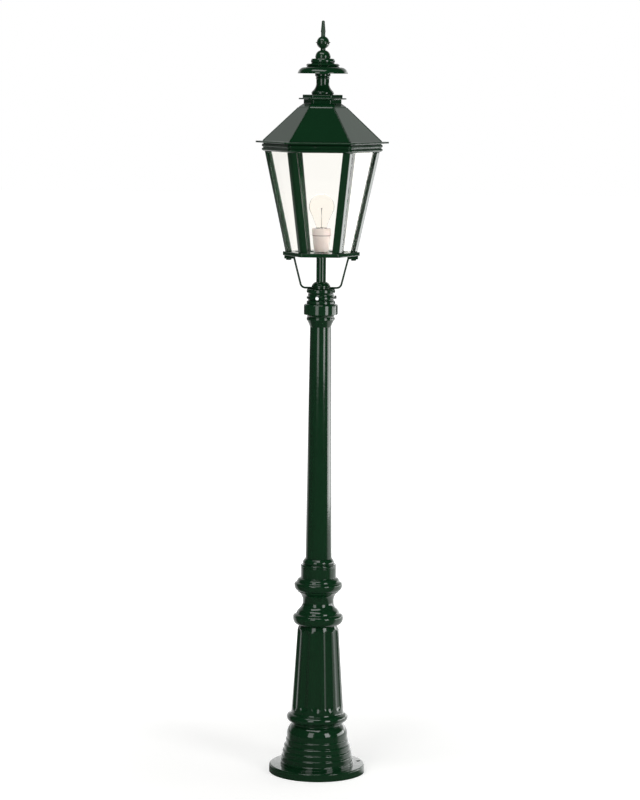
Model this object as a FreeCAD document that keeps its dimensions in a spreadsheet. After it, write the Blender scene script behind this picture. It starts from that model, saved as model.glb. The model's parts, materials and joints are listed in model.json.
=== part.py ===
import FreeCAD, Part
import math
import os
import Sketcher
from FreeCAD import Placement, Rotation, Vector

DOC = FreeCAD.newDocument("lamp_post")
SHEET = DOC.addObject("Spreadsheet::Sheet", "Sizes")

# Driving sizes in millimetres and degrees
SIZES = {
    # Running and seating clearances
    "fit_gap": 0.15,
    "end_gap": 0.5,
    "glass_gap": 0.2,
    "pin_gap": 0.05,
    "roof_gap": 1.2,
    "knuckle_gap": 0.3,
    # Foot plate of the base casting
    "plate_radius": 115.5,
    "plate_thick": 19.0,
    "plate_edge": 3.0,
    "bolt_count": 3,
    "bolt_hole_radius": 5.5,
    "bolt_angle": 13.0,
    # Stepped bell
    "step_foot_rise": 8.0,
    "step_rise": 13.75,
    "step_edge": 3.0,
    "step_swell": 0.7,
    "step_radius_a": 88.0,
    "step_radius_b": 86.2,
    "step_radius_c": 83.3,
    "step_radius_d": 79.8,
    "step_radius_e": 75.2,
    "bell_radius": 73.0,
    "bell_rise": 13.0,
    "shoulder_rise": 22.5,
    "shoulder_swell": 2.4,
    "groove_radius": 61.2,
    "groove_rise": 6.0,
    "register_step": 4.0,
    "register_rise": 10.0,
    "bead_foot_radius": 64.2,
    "bead_rise": 20.5,
    "bead_swell": 9.3,
    "apron_rise": 4.5,
    "apron_hollow": 0.4,
    # Fluted lower column
    "column_low_radius": 62.5,
    "column_top_radius": 50.2,
    "column_rise": 198.5,
    "column_neck_radius": 45.4,
    "column_neck_rise": 13.5,
    "flute_count": 12,
    "flute_land": 2.4,
    "flute_depth": 3.6,
    "flute_low_end": 21.0,
    "flute_top_end": 3.0,
    "cast_wall": 10.5,
    # Baluster collar
    "collar_register": 10.0,
    "collar_register_wall": 5.0,
    "lower_ring_foot_radius": 48.6,
    "lower_ring_rim_radius": 59.2,
    "lower_ring_brow_radius": 60.2,
    "lower_ring_edge_radius": 55.6,
    "lower_ring_top_radius": 51.6,
    "lower_ring_under_rise": 9.0,
    "lower_ring_rim_rise": 11.5,
    "lower_ring_edge_rise": 5.5,
    "lower_ring_top_rise": 3.0,
    "ring_under_swell": 2.0,
    "ring_rim_swell": 0.7,
    "ring_edge_swell": 0.9,
    "ring_top_hollow": 0.6,
    "flare_radius": 45.0,
    "flare_rise": 10.0,
    "flare_swell": 1.0,
    "neck_radius": 37.2,
    "neck_low_rise": 15.5,
    "neck_low_hollow": 1.8,
    "neck_mid_rise": 6.0,
    "neck_top_rise": 20.0,
    "neck_top_hollow": 2.5,
    "fillet_ring_radius": 49.4,
    "fillet_ring_rise": 2.5,
    "upper_ring_rim_radius": 55.6,
    "upper_ring_brow_radius": 57.8,
    "upper_ring_edge_radius": 54.8,
    "upper_ring_top_radius": 51.0,
    "upper_ring_under_rise": 4.5,
    "upper_ring_rim_rise": 10.5,
    "upper_ring_edge_rise": 5.0,
    "upper_ring_top_rise": 3.5,
    "upper_under_swell": 0.9,
    "drum_foot_rise": 8.0,
    "drum_foot_swell": 2.0,
    "drum_radius": 42.3,
    "drum_rise": 25.5,
    "drum_bead_rise": 6.5,
    "drum_bead_swell": 1.1,
    "drum_bead_radius": 41.6,
    "top_ring_radius": 36.8,
    "top_ring_rise": 9.0,
    "top_ring_swell": 1.0,
    "seat_radius": 33.6,
    "seat_rise": 5.0,
    # Upper shaft
    "shaft_low_radius": 31.5,
    "shaft_top_radius": 25.0,
    "shaft_rise": 558.0,
    "shaft_wall": 6.5,
    "spigot_radius": 27.8,
    "spigot_length": 70.0,
    "top_spigot_radius": 22.0,
    "top_spigot_length": 31.0,
    "cable_bore_radius": 20.0,
    "grub_radius": 4.0,
    "grub_length": 12.0,
    # Capital
    "cone_foot_radius": 25.4,
    "cone_rise": 17.0,
    "cone_hollow": 0.6,
    "lip_radius": 33.5,
    "lip_rise": 4.5,
    "lip_groove_radius": 32.4,
    "lip_groove_rise": 2.5,
    "band_flare_rise": 5.5,
    "band_flare_hollow": 1.2,
    "band_radius": 40.1,
    "band_rise": 22.0,
    "crown_rise": 3.5,
    "crown_swell": 1.0,
    "crown_radius": 35.2,
    "post_spigot_radius": 22.0,
    "post_spigot_rise": 18.0,
    "post_bore_radius": 17.5,
    # Ribbed lantern socket
    "rib_radius": 33.7,
    "rib_groove_radius": 31.2,
    "rib_low_rise": 6.5,
    "rib_mid_rise": 5.0,
    "rib_top_rise": 8.5,
    "low_groove_rise": 5.5,
    "top_groove_rise": 9.5,
    "rib_groove_hollow": 0.9,
    "rib_edge": 2.5,
    "socket_roof": 9.0,
    "set_screw_count": 3,
    "set_screw_angle": -11.3,
    "set_screw_radius": 2.5,
    "set_screw_head": 3.5,
    "set_screw_across": 8.0,
    "set_screw_stand": 0.4,
    # Stirrup that carries the lantern corners
    "eye_radius": 21.5,
    "eye_thick": 5.0,
    "rod_radius": 2.5,
    "rod_knee_reach": 46.3,
    "rod_knee_round": 12.0,
    "rod_head_inset": 2.8,
    "foot_tail": 14.8,
    "foot_end": 10.6,
    "foot_width": 14.0,
    "foot_thick": 8.0,
    # Stem tube with its dome and lock nuts
    "dome_radius": 22.0,
    "dome_rim": 3.0,
    "dome_rise": 12.0,
    "dome_top_radius": 12.8,
    "dome_swell": 1.3,
    "stem_radius": 11.4,
    "stem_wall": 2.0,
    "stem_tail": 9.0,
    "stem_clear_rise": 62.5,
    "lock_nut_across": 27.0,
    "lock_nut_thick": 5.0,
    # Floor frame
    "floor_lap": 5.7,
    "floor_ring_width": 29.0,
    "floor_rim": 9.0,
    "floor_plate": 4.5,
    "floor_rim_wall": 5.0,
    "floor_facet": 3.0,
    "spoke_width": 12.0,
    "hub_radius": 19.0,
    "boss_radius": 8.0,
    # Corner posts and glass
    "post_low_reach": 85.3,
    "post_top_reach": 135.5,
    "post_rise": 236.5,
    "post_facet": 3.5,
    "post_flange": 11.0,
    "post_flange_thick": 4.0,
    "post_web_half": 5.0,
    "post_depth": 17.0,
    "post_screw_inset": 8.5,
    "glass_thick": 3.0,
    # Screws of the lantern frame
    "frame_screw_radius": 2.5,
    "frame_screw_head_radius": 4.8,
    "frame_screw_head": 2.4,
    "frame_screw_bite": 12.0,
    "stirrup_bolt_radius": 3.0,
    "stirrup_bolt_across": 12.0,
    "stirrup_bolt_head": 3.6,
    # Cornice
    "cornice_facet": 3.5,
    "cornice_lap": 2.5,
    "cornice_band_step": 4.4,
    "cornice_groove_depth": 2.8,
    "cornice_top_step": 1.9,
    "cornice_ledge": 17.5,
    "cornice_foot_rise": 3.0,
    "cornice_band_rise": 3.8,
    "cornice_bevel_rise": 1.1,
    "cornice_groove_rise": 2.4,
    "cornice_upper_rise": 4.0,
    "cornice_cap_rise": 2.1,
    # Roof shell
    "seat_ring_inset": 1.5,
    "seat_ring_width": 13.0,
    "seat_ring_rise": 2.5,
    "brim_overhang": 14.6,
    "brim_thick": 4.0,
    "brim_facet": 3.5,
    "hip_facet": 2.5,
    "roof_foot_inset": 17.1,
    "roof_top_reach": 56.8,
    "roof_rise": 78.5,
    "roof_wall": 4.6,
    "ledge_inset": 1.4,
    "ledge_rise": 2.5,
    "bevel_width": 11.0,
    "bevel_rise": 7.5,
    "chimney_rise": 6.5,
    "chimney_wall": 3.8,
    "web_thick": 3.0,
    "tab_width": 30.0,
    "tab_thick": 3.0,
    "tab_drop": 10.0,
    # Chimney cap, neck, hat and finial
    "cap_flange_lap": 11.6,
    "cap_flange_thick": 3.2,
    "cap_plate_lap": 2.5,
    "cap_plate_thick": 7.8,
    "cap_facet": 2.0,
    "rod_bore_radius": 3.2,
    "neck_foot_radius": 25.2,
    "neck_foot_rise": 8.0,
    "neck_foot_swell": 1.2,
    "neck_waist_radius": 15.2,
    "neck_waist_rise": 22.0,
    "neck_waist_hollow": 3.0,
    "neck_shaft_rise": 7.0,
    "neck_bead_rise": 3.5,
    "neck_bead_swell": 1.3,
    "neck_flange_radius": 18.0,
    "neck_flange_rise": 7.5,
    "hat_radius": 58.8,
    "hat_rim": 1.5,
    "hat_brow_radius": 44.3,
    "hat_brow_rise": 16.5,
    "hat_brow_swell": 4.2,
    "hat_wall": 3.0,
    "tier_low_radius": 36.6,
    "tier_low_edge": 3.7,
    "tier_low_foot": 2.0,
    "tier_low_rise": 6.0,
    "tier_mid_gap": 1.5,
    "tier_mid_radius": 26.6,
    "tier_mid_rise": 10.0,
    "tier_mid_swell": 1.6,
    "hat_dome_radius": 17.6,
    "hat_dome_foot": 2.0,
    "hat_dome_rise": 18.0,
    "hat_dome_swell": 4.4,
    "finial_foot_radius": 6.0,
    "finial_foot_rise": 4.0,
    "ball_radius": 15.0,
    "ball_rise": 28.0,
    "ball_ridge": 2.2,
    "ball_ridge_half": 0.9,
    "spike_low_radius": 5.0,
    "spike_rise": 33.0,
    "spike_ring_radius": 5.6,
    "spike_ring_foot": 9.5,
    "spike_ring_rise": 2.4,
    "spike_top_radius": 3.7,
    "spike_tip": 4.0,
    "spike_tip_radius": 1.5,
    "spike_tip_swell": 0.9,
    "tie_rod_radius": 3.0,
    "tie_rod_bite": 12.0,
    "tie_rod_tail": 4.0,
    "tie_nut_across": 10.0,
    "tie_nut_thick": 5.0,
    # Roof hinge and closing screw
    "knuckle_radius": 5.0,
    "pin_radius": 2.5,
    "pin_head_radius": 4.0,
    "pin_head": 2.0,
    "leaf_half_width": 22.0,
    "moving_half_width": 8.0,
    "moving_plate_half": 14.5,
    "leaf_thick": 3.0,
    "moving_leaf_thick": 2.6,
    "moving_leaf_depth": 11.5,
    "leaf_drop": 14.0,
    "leaf_arm_thick": 3.0,
    "small_screw_radius": 2.0,
    "small_screw_head_radius": 3.4,
    "small_screw_head": 2.2,
    "leaf_screw_reach": 15.0,
    "moving_screw_reach": 10.5,
    "small_screw_bite": 8.0,
    "closing_offset": -11.0,
    "closing_gap": 0.6,
    # Lampholder and bulb
    "holder_foot_radius": 15.8,
    "holder_foot_rise": 5.0,
    "holder_waist_radius": 17.4,
    "holder_body_rise": 25.0,
    "holder_body_radius": 20.2,
    "holder_body_swell": 0.4,
    "holder_lip_radius": 20.9,
    "holder_lip_bevel": 3.0,
    "holder_lip_rise": 5.5,
    "holder_entry": 10.5,
    "holder_floor": 15.0,
    "holder_wire_radius": 4.2,
    "holder_cavity_radius": 15.2,
    "holder_ring_radius": 22.3,
    "holder_ring_rise": 17.0,
    "holder_ring_edge": 2.5,
    "shell_thick": 0.8,
    "shell_rise": 26.0,
    "contact_radius": 7.0,
    "contact_thick": 3.0,
    "cap_nub_radius": 4.0,
    "cap_nub_rise": 2.0,
    "cap_base_rise": 1.5,
    "cap_radius": 13.4,
    "cap_wall": 0.6,
    "cap_rise": 24.5,
    "bulb_radius": 30.0,
    "bulb_centre_rise": 50.0,
    "bulb_join_angle": 32.0,
    "bulb_neck_hollow": 1.0,
    "bulb_wall": 1.0,
    "bulb_neck_bite": 8.5,
    "mount_foot_thick": 1.5,
    "mount_radius": 2.2,
    "mount_taper": 9.0,
    "mount_rise": 28.0,
    "wire_radius": 0.5,
    "wire_lean": 32.0,
    "wire_length": 18.0,
    "filament_radius": 0.6,
    "lead_radius": 3.2,
    "lead_start": 380.0,
}

for row, (alias, number) in enumerate(SIZES.items(), start=1):
    SHEET.set("A%d" % row, alias)
    SHEET.set("B%d" % row, str(number))
    SHEET.setAlias("B%d" % row, alias)


class Dim:
    """A size: its number and the sheet expression that drives it."""

    def __init__(self, number, text):
        self.number = float(number)
        self.text = text

    def joined(self, sign, other, number):
        return Dim(number, "(%s %s %s)" % (self.text, sign, other.text))

    def __add__(self, other):
        other = dim(other)
        return self.joined("+", other, self.number + other.number)

    def __sub__(self, other):
        other = dim(other)
        return self.joined("-", other, self.number - other.number)

    def __mul__(self, other):
        other = dim(other)
        return self.joined("*", other, self.number * other.number)

    def __truediv__(self, other):
        other = dim(other)
        return self.joined("/", other, self.number / other.number)

    def __neg__(self):
        return Dim(-self.number, "(0 - %s)" % self.text)


class SheetSizes:
    """Reads a size of the sheet by its alias."""

    def __getattr__(self, alias):
        return Dim(SIZES[alias], "Sizes." + alias)


S = SheetSizes()


def dim(value):
    if isinstance(value, Dim):
        return value
    return Dim(value, repr(value))


ZERO = dim(0)
HALF = dim(0.5)
FULL_TURN = 360
HALF_TURN = 180
QUARTER_TURN = 90
NO_LENGTH = 1e-9


def cosine(angle):
    angle = dim(angle)
    return Dim(math.cos(math.radians(angle.number)), "cos(%s * 1 deg)" % angle.text)


def sine(angle):
    angle = dim(angle)
    return Dim(math.sin(math.radians(angle.number)), "sin(%s * 1 deg)" % angle.text)


def root(value):
    return Dim(math.sqrt(value.number), "sqrt(%s)" % value.text)


HEX_HALF = 30
HEX_STEP = 60
HEX_SIDES = 6
SLANT = sine(HEX_HALF) / cosine(HEX_HALF)


def over_stirrup(corner):
    """Tell the two opposite corners on the X axis from the other four."""
    return corner % (HEX_SIDES // 2) == 0


def level(alias, value):
    """Keep a derived height or reach as a row of the sheet."""
    place = "B%d" % (len(SIZES) + 1)
    SIZES[alias] = value.number
    SHEET.set("A%d" % len(SIZES), alias)
    SHEET.set(place, "=" + value.text.replace("Sizes.", ""))
    SHEET.setAlias(place, alias)
    return Dim(value.number, "Sizes." + alias)


# Heights of the seats, from the ground up
z_plate = level("z_plate", S.plate_thick + ZERO)
z_step_a = level("z_step_a", z_plate + S.step_foot_rise)
z_step_b = level("z_step_b", z_step_a + S.step_rise)
z_step_c = level("z_step_c", z_step_b + S.step_rise)
z_step_d = level("z_step_d", z_step_c + S.step_rise)
z_step_e = level("z_step_e", z_step_d + S.step_rise)
z_bell = level("z_bell", z_step_e + S.bell_rise)
z_shoulder = level("z_shoulder", z_bell + S.shoulder_rise)
z_groove = level("z_groove", z_shoulder + S.groove_rise)
z_bead = level("z_bead", z_groove + S.bead_rise)
z_apron = level("z_apron", z_bead + S.apron_rise)
z_column = level("z_column", z_apron + S.column_rise)
z_collar = level("z_collar", z_column + S.column_neck_rise)
z_lower_rim = level("z_lower_rim", z_collar + S.lower_ring_under_rise)
z_lower_brow = level("z_lower_brow", z_lower_rim + S.lower_ring_rim_rise)
z_lower_edge = level("z_lower_edge", z_lower_brow + S.lower_ring_edge_rise)
z_lower_ring = level("z_lower_ring", z_lower_edge + S.lower_ring_top_rise)
z_flare = level("z_flare", z_lower_ring + S.flare_rise)
z_neck_low = level("z_neck_low", z_flare + S.neck_low_rise)
z_neck_mid = level("z_neck_mid", z_neck_low + S.neck_mid_rise)
z_neck_top = level("z_neck_top", z_neck_mid + S.neck_top_rise)
z_fillet_ring = level("z_fillet_ring", z_neck_top + S.fillet_ring_rise)
z_upper_rim = level("z_upper_rim", z_fillet_ring + S.upper_ring_under_rise)
z_upper_brow = level("z_upper_brow", z_upper_rim + S.upper_ring_rim_rise)
z_upper_edge = level("z_upper_edge", z_upper_brow + S.upper_ring_edge_rise)
z_upper_ring = level("z_upper_ring", z_upper_edge + S.upper_ring_top_rise)
z_drum = level("z_drum", z_upper_ring + S.drum_foot_rise)
z_drum_top = level("z_drum_top", z_drum + S.drum_rise)
z_drum_bead = level("z_drum_bead", z_drum_top + S.drum_bead_rise)
z_top_ring = level("z_top_ring", z_drum_bead + S.top_ring_rise)
z_seat = level("z_seat", z_top_ring + S.seat_rise)
z_shaft = level("z_shaft", z_seat + S.shaft_rise)
z_cone = level("z_cone", z_shaft + S.cone_rise)
z_lip = level("z_lip", z_cone + S.lip_rise)
z_lip_groove = level("z_lip_groove", z_lip + S.lip_groove_rise)
z_band_foot = level("z_band_foot", z_lip_groove + S.band_flare_rise)
z_band = level("z_band", z_band_foot + S.band_rise)
z_socket = level("z_socket", z_band + S.crown_rise)
z_rib_low = level("z_rib_low", z_socket + S.rib_low_rise)
z_rib_mid = level("z_rib_mid", z_rib_low + S.low_groove_rise)
z_rib_mid_top = level("z_rib_mid_top", z_rib_mid + S.rib_mid_rise)
z_rib_top = level("z_rib_top", z_rib_mid_top + S.top_groove_rise)
z_eye = level("z_eye", z_rib_top + S.rib_top_rise)
z_dome = level("z_dome", z_eye + S.eye_thick)
z_dome_top = level("z_dome_top", z_dome + S.dome_rise)
z_rim = level("z_rim", z_dome_top + S.stem_clear_rise)
z_floor = level("z_floor", z_rim + S.floor_rim)
z_cornice = level("z_cornice", z_floor + S.post_rise)
z_band_low = level("z_band_low", z_cornice + S.cornice_foot_rise)
z_band_mid = level("z_band_mid", z_band_low + S.cornice_band_rise)
z_groove_low = level("z_groove_low", z_band_mid + S.cornice_bevel_rise)
z_groove_top = level("z_groove_top", z_groove_low + S.cornice_groove_rise)
z_upper_low = level("z_upper_low", z_groove_top + S.cornice_bevel_rise)
z_upper_top = level("z_upper_top", z_upper_low + S.cornice_upper_rise)
z_roof = level("z_roof", z_upper_top + S.cornice_cap_rise)
z_brim_low = level("z_brim_low", z_roof + S.seat_ring_rise)
z_brim = level("z_brim", z_brim_low + S.brim_thick)
z_roof_top = level("z_roof_top", z_brim + S.roof_rise)
z_ledge = level("z_ledge", z_roof_top + S.ledge_rise)
z_bevel = level("z_bevel", z_ledge + S.bevel_rise)
z_web = level("z_web", z_bevel + S.chimney_rise)
z_cap = level("z_cap", z_web + S.web_thick)
z_cap_plate = level("z_cap_plate", z_cap + S.cap_flange_thick)
z_neck = level("z_neck", z_cap_plate + S.cap_plate_thick)
z_neck_foot = level("z_neck_foot", z_neck + S.neck_foot_rise)
z_neck_waist = level("z_neck_waist", z_neck_foot + S.neck_waist_rise)
z_neck_shaft = level("z_neck_shaft", z_neck_waist + S.neck_shaft_rise)
z_neck_bead = level("z_neck_bead", z_neck_shaft + S.neck_bead_rise)
z_hat = level("z_hat", z_neck_bead + S.neck_flange_rise)
z_brow = level("z_brow", z_hat + S.hat_brow_rise)
z_tier_low = level("z_tier_low", z_brow + S.tier_low_foot)
z_tier_low_top = level("z_tier_low_top", z_tier_low + S.tier_low_rise)
z_tier_mid = level("z_tier_mid", z_tier_low_top + S.tier_mid_gap)
z_tier_mid_top = level("z_tier_mid_top", z_tier_mid + S.tier_mid_rise)
z_hat_dome = level("z_hat_dome", z_tier_mid_top + S.hat_dome_foot)
z_finial = level("z_finial", z_hat_dome + S.hat_dome_rise)
z_ball_low = level("z_ball_low", z_finial + S.finial_foot_rise)
z_ball_mid = level("z_ball_mid", z_ball_low + S.ball_rise * HALF)
z_ball_top = level("z_ball_top", z_ball_low + S.ball_rise)
z_tip = level("z_tip", z_ball_top + S.spike_rise)
z_spike_end = level("z_spike_end", z_tip + S.spike_tip)

# Heights inside the lamp
z_entry = level("z_entry", z_floor + S.holder_entry)
z_contact = level("z_contact", z_entry + S.holder_floor)
z_holder_waist = level("z_holder_waist", z_floor + S.holder_foot_rise)
z_holder_body = level("z_holder_body", z_holder_waist + S.holder_body_rise)
z_lip_low = level("z_lip_low", z_holder_body + S.holder_lip_bevel)
z_holder_lip = level("z_holder_lip", z_lip_low + S.holder_lip_rise)
z_holder_top = level("z_holder_top", z_holder_lip + S.holder_ring_rise)
z_nub = level("z_nub", z_contact + S.contact_thick)
z_cap_base = level("z_cap_base", z_nub + S.cap_nub_rise)
z_cap_side = level("z_cap_side", z_cap_base + S.cap_base_rise)
z_cap_rim = level("z_cap_rim", z_cap_side + S.cap_rise)
z_bulb_foot = level("z_bulb_foot", z_cap_rim - S.bulb_neck_bite)
z_bulb = level("z_bulb", z_cap_rim + S.bulb_centre_rise)
z_mount_taper = level("z_mount_taper", z_bulb_foot + S.mount_foot_thick + S.mount_taper)
z_mount = level("z_mount", z_mount_taper + S.mount_rise)

# Corner reaches of the lantern, each stepped from the posts that carry it
level("floor_reach", S.post_low_reach + S.floor_lap)
level("floor_inner_reach", S.floor_reach - S.floor_ring_width)
level("cornice_foot_reach", S.post_top_reach + S.cornice_lap)
level("cornice_band_reach", S.cornice_foot_reach + S.cornice_band_step)
level("cornice_groove_reach", S.cornice_band_reach - S.cornice_groove_depth)
level("cornice_top_reach", S.cornice_band_reach - S.cornice_top_step)
level("cornice_inner_reach", S.post_top_reach - S.cornice_ledge)
level("seat_ring_reach", S.cornice_top_reach - S.seat_ring_inset)
level("seat_ring_inner_reach", S.seat_ring_reach - S.seat_ring_width)
level("brim_reach", S.cornice_band_reach + S.brim_overhang)
level("roof_foot_reach", S.brim_reach - S.roof_foot_inset)
level("ledge_reach", S.roof_top_reach - S.ledge_inset)
level("chimney_reach", S.ledge_reach - S.bevel_width)
level("cap_flange_reach", S.chimney_reach + S.cap_flange_lap)
level("cap_plate_reach", S.chimney_reach + S.cap_plate_lap)

# Reach of the flats of the six-sided pieces
brim_flat = level("brim_flat", (S.brim_reach + S.brim_facet * SLANT) * cosine(HEX_HALF))
band_flat = level("band_flat", (S.cornice_band_reach + S.cornice_facet * SLANT) * cosine(HEX_HALF))
well_flat = level("well_flat", (S.cornice_inner_reach + S.cornice_facet * SLANT) * cosine(HEX_HALF))
y_hinge = level("y_hinge", brim_flat + S.roof_gap + S.knuckle_radius)
z_hinge = level("z_hinge", z_brim_low + S.brim_thick * HALF)
DOC.recompute()


class Section:
    """A closed outline drawn corner by corner, with straight or curved sides."""

    def __init__(self):
        self.corners = []
        self.curves = {}

    def to(self, across, up):
        self.corners.append((dim(across), dim(up)))
        return self

    def swell(self, amount, across, up):
        """A curved side; a positive amount swells to the right of travel."""
        self.curves[len(self.corners) - 1] = (dim(amount), None)
        return self.to(across, up)

    def arc(self, radius, sign, across, up):
        """A round side of a given radius; sign 1 swells to the right of travel."""
        self.curves[len(self.corners) - 1] = (dim(radius), sign)
        return self.to(across, up)


class Rules:
    """Collects the constraints of a sketch with the expressions that drive them."""

    def __init__(self, sketch):
        self.sketch = sketch
        self.items = []
        self.texts = []

    def add(self, constraint, text=None):
        self.items.append(constraint)
        self.texts.append(text)

    def pin(self, geo, end, across, up):
        """Hold a point at its distances from the origin."""
        for kind, axis, size in (("DistanceX", -2, across), ("DistanceY", -1, up)):
            if abs(size.number) < NO_LENGTH:
                self.add(Sketcher.Constraint("PointOnObject", geo, end, axis))
            elif size.number > 0:
                self.add(Sketcher.Constraint(kind, -1, 1, geo, end, size.number), size.text)
            else:
                self.add(Sketcher.Constraint(kind, geo, end, -1, 1, -size.number), (-size).text)

    def write(self):
        first = self.sketch.ConstraintCount
        self.sketch.addConstraint(self.items)
        for offset, text in enumerate(self.texts):
            if text is not None:
                self.sketch.setExpression("Constraints[%d]" % (first + offset), text)


def outline(sketch, section, closed=True):
    """Draw a section as a fully held outline, closed unless it is a path."""
    corners = section.corners
    total = len(corners)
    sides = total if closed else total - 1
    first = sketch.GeometryCount
    rules = Rules(sketch)
    ends = []
    radii = {}
    for side in range(sides):
        start = corners[side]
        finish = corners[(side + 1) % total]
        a = Vector(start[0].number, start[1].number, 0)
        b = Vector(finish[0].number, finish[1].number, 0)
        if side not in section.curves:
            sketch.addGeometry(Part.LineSegment(a, b), False)
            ends.append((1, 2))
            continue
        size, sign = section.curves[side]
        chord = b - a
        right = Vector(chord.y, -chord.x, 0)
        right.normalize()
        if sign is None:
            sign = 1 if size.number > 0 else -1
            bulge = size if sign > 0 else -size
            run = finish[0] - start[0]
            climb = finish[1] - start[1]
            radius = ((run * run + climb * climb) / 4 + bulge * bulge) / (bulge * 2)
            height = bulge.number
        else:
            radius = size
            height = radius.number - math.sqrt(max(radius.number ** 2 - chord.Length ** 2 / 4, 0))
        sketch.addGeometry(Part.Arc(a, (a + b) * 0.5 + right * (sign * height), b), False)
        ends.append((1, 2) if sign > 0 else (2, 1))
        radii[side] = radius
    for side in range(sides):
        here = first + side
        rules.pin(here, ends[side][0], corners[side][0], corners[side][1])
        if closed or side < sides - 1:
            after = (side + 1) % sides
            rules.add(Sketcher.Constraint("Coincident", here, ends[side][1], first + after, ends[after][0]))
        else:
            rules.pin(here, ends[side][1], corners[-1][0], corners[-1][1])
        if side in radii:
            rules.add(Sketcher.Constraint("Radius", here, radii[side].number), radii[side].text)
    rules.write()


def circles(sketch, centres, radius):
    """Draw equal circles about given centres."""
    rules = Rules(sketch)
    for across, up in centres:
        middle = Vector(across.number, up.number, 0)
        geo = sketch.addGeometry(Part.Circle(middle, Vector(0, 0, 1), radius.number), False)
        rules.pin(geo, 3, across, up)
        rules.add(Sketcher.Constraint("Radius", geo, radius.number), radius.text)
    rules.write()


def new_body(label):
    body = DOC.addObject("PartDesign::Body", label)
    body.Label = label
    return body


def datum(body, role):
    return [item for item in body.Origin.OriginFeatures if item.Role == role][0]


def sketch_on(body, plane, name, lift=ZERO):
    """A sketch on one of the body's own planes, lifted along its normal."""
    sketch = body.newObject("Sketcher::SketchObject", name)
    sketch.AttachmentSupport = (datum(body, plane), [""])
    sketch.MapMode = "FlatFace"
    if abs(lift.number) > NO_LENGTH:
        sketch.AttachmentOffset = Placement(Vector(0, 0, lift.number), Rotation())
        sketch.setExpression("AttachmentOffset.Base.z", lift.text)
    return sketch


def bind(item, **sizes):
    """Drive properties of an object from the sheet."""
    for name, size in sizes.items():
        setattr(item, name, size.number)
        item.setExpression(name, size.text)


def turn(body, name, section, cut=False):
    """Revolve a half section about the upright axis."""
    sketch = sketch_on(body, "XZ_Plane", name + "_section")
    outline(sketch, section)
    kind = "PartDesign::Groove" if cut else "PartDesign::Revolution"
    feature = body.newObject(kind, name + "_turn")
    feature.Profile = sketch
    feature.ReferenceAxis = (sketch, ["V_Axis"])
    feature.Angle = FULL_TURN
    return feature


def turned(label, section):
    body = new_body(label)
    turn(body, label, section)
    return body


def pad(body, name, sketch, length, middle=False, back=False):
    feature = body.newObject("PartDesign::Pad", name)
    feature.Profile = sketch
    feature.SideType = "Symmetric" if middle else "One side"
    feature.Reversed = back
    bind(feature, Length=length)
    return feature


def pocket(body, name, sketch, length, forward=False):
    """Cut behind the sketch, or in front of it where forward is set."""
    feature = body.newObject("PartDesign::Pocket", name)
    feature.Profile = sketch
    feature.Reversed = forward
    bind(feature, Length=length)
    return feature


def slab(body, name, section, low, thick):
    """Pad a plan outline upward from a height."""
    sketch = sketch_on(body, "XY_Plane", name + "_plan", low)
    outline(sketch, section)
    return pad(body, name, sketch, thick)


def well(body, name, section, top, depth):
    """Cut a plan outline downward from a height."""
    sketch = sketch_on(body, "XY_Plane", name + "_plan", top)
    outline(sketch, section)
    return pocket(body, name, sketch, depth)


def drill(body, name, centres, radius, top, depth):
    """Bore round holes downward from a height."""
    sketch = sketch_on(body, "XY_Plane", name + "_plan", top)
    circles(sketch, centres, radius)
    return pocket(body, name, sketch, depth)


def repeat(body, name, feature, count):
    """Repeat a feature round the upright axis."""
    pattern = body.newObject("PartDesign::PolarPattern", name)
    pattern.Originals = [feature]
    pattern.Axis = (datum(body, "Z_Axis"), [""])
    pattern.Angle = FULL_TURN
    pattern.Occurrences = int(count.number)
    pattern.setExpression("Occurrences", count.text)
    body.Tip = pattern
    return pattern


def polar(radius, angle):
    return (radius * cosine(angle), radius * sine(angle))


def turned_point(out, aside, angle):
    """A point given by its reach and its sideways step, turned about the axis."""
    return (out * cosine(angle) - aside * sine(angle), out * sine(angle) + aside * cosine(angle))


def hexagon(reach, facet):
    """Six-sided outline with corners cut to narrow facets; corners lie on the X axis."""
    section = Section()
    for corner in range(HEX_SIDES):
        for side in (-facet, facet):
            across, up = turned_point(reach, side, corner * HEX_STEP)
            section.to(across, up)
    return section


def hex_loft(body, name, steps, facet, cut=False):
    """Straight-sided loft through hexagons of given reach and height."""
    sketches = []
    for number, (reach, height) in enumerate(steps, start=1):
        sketch = sketch_on(body, "XY_Plane", "%s_ring_%d" % (name, number), height)
        outline(sketch, hexagon(reach, facet))
        sketches.append(sketch)
    kind = "PartDesign::SubtractiveLoft" if cut else "PartDesign::AdditiveLoft"
    feature = body.newObject(kind, name)
    feature.Profile = sketches[0]
    feature.Sections = sketches[1:]
    feature.Ruled = True
    return feature


def place(item, across=ZERO, deep=ZERO, up=ZERO, rotation=None):
    """Set an object's place, driven from the sheet."""
    item.Placement = Placement(Vector(across.number, deep.number, up.number), rotation or Rotation())
    for axis, size in (("x", across), ("y", deep), ("z", up)):
        if abs(size.number) > NO_LENGTH:
            item.setExpression("Placement.Base." + axis, size.text)
    return item


def cylinder(name, radius, height, low=ZERO):
    item = DOC.addObject("Part::Cylinder", name)
    bind(item, Radius=radius, Height=height)
    return place(item, up=low)


def hex_bar(name, across, height, low=ZERO):
    item = DOC.addObject("Part::Prism", name)
    item.Polygon = HEX_SIDES
    bind(item, Circumradius=across * HALF / cosine(HEX_HALF), Height=height)
    return place(item, up=low)


def fuse(label, items):
    joined = DOC.addObject("Part::MultiFuse", label)
    joined.Shapes = items
    joined.Label = label
    return joined


def cut(label, base, tool):
    result = DOC.addObject("Part::Cut", label)
    result.Base = base
    result.Tool = tool
    result.Label = label
    return result


def group(label, items):
    """Equal fasteners kept together under one name."""
    bundle = DOC.addObject("Part::Compound", label)
    bundle.Links = items
    bundle.Label = label
    return bundle


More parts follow.
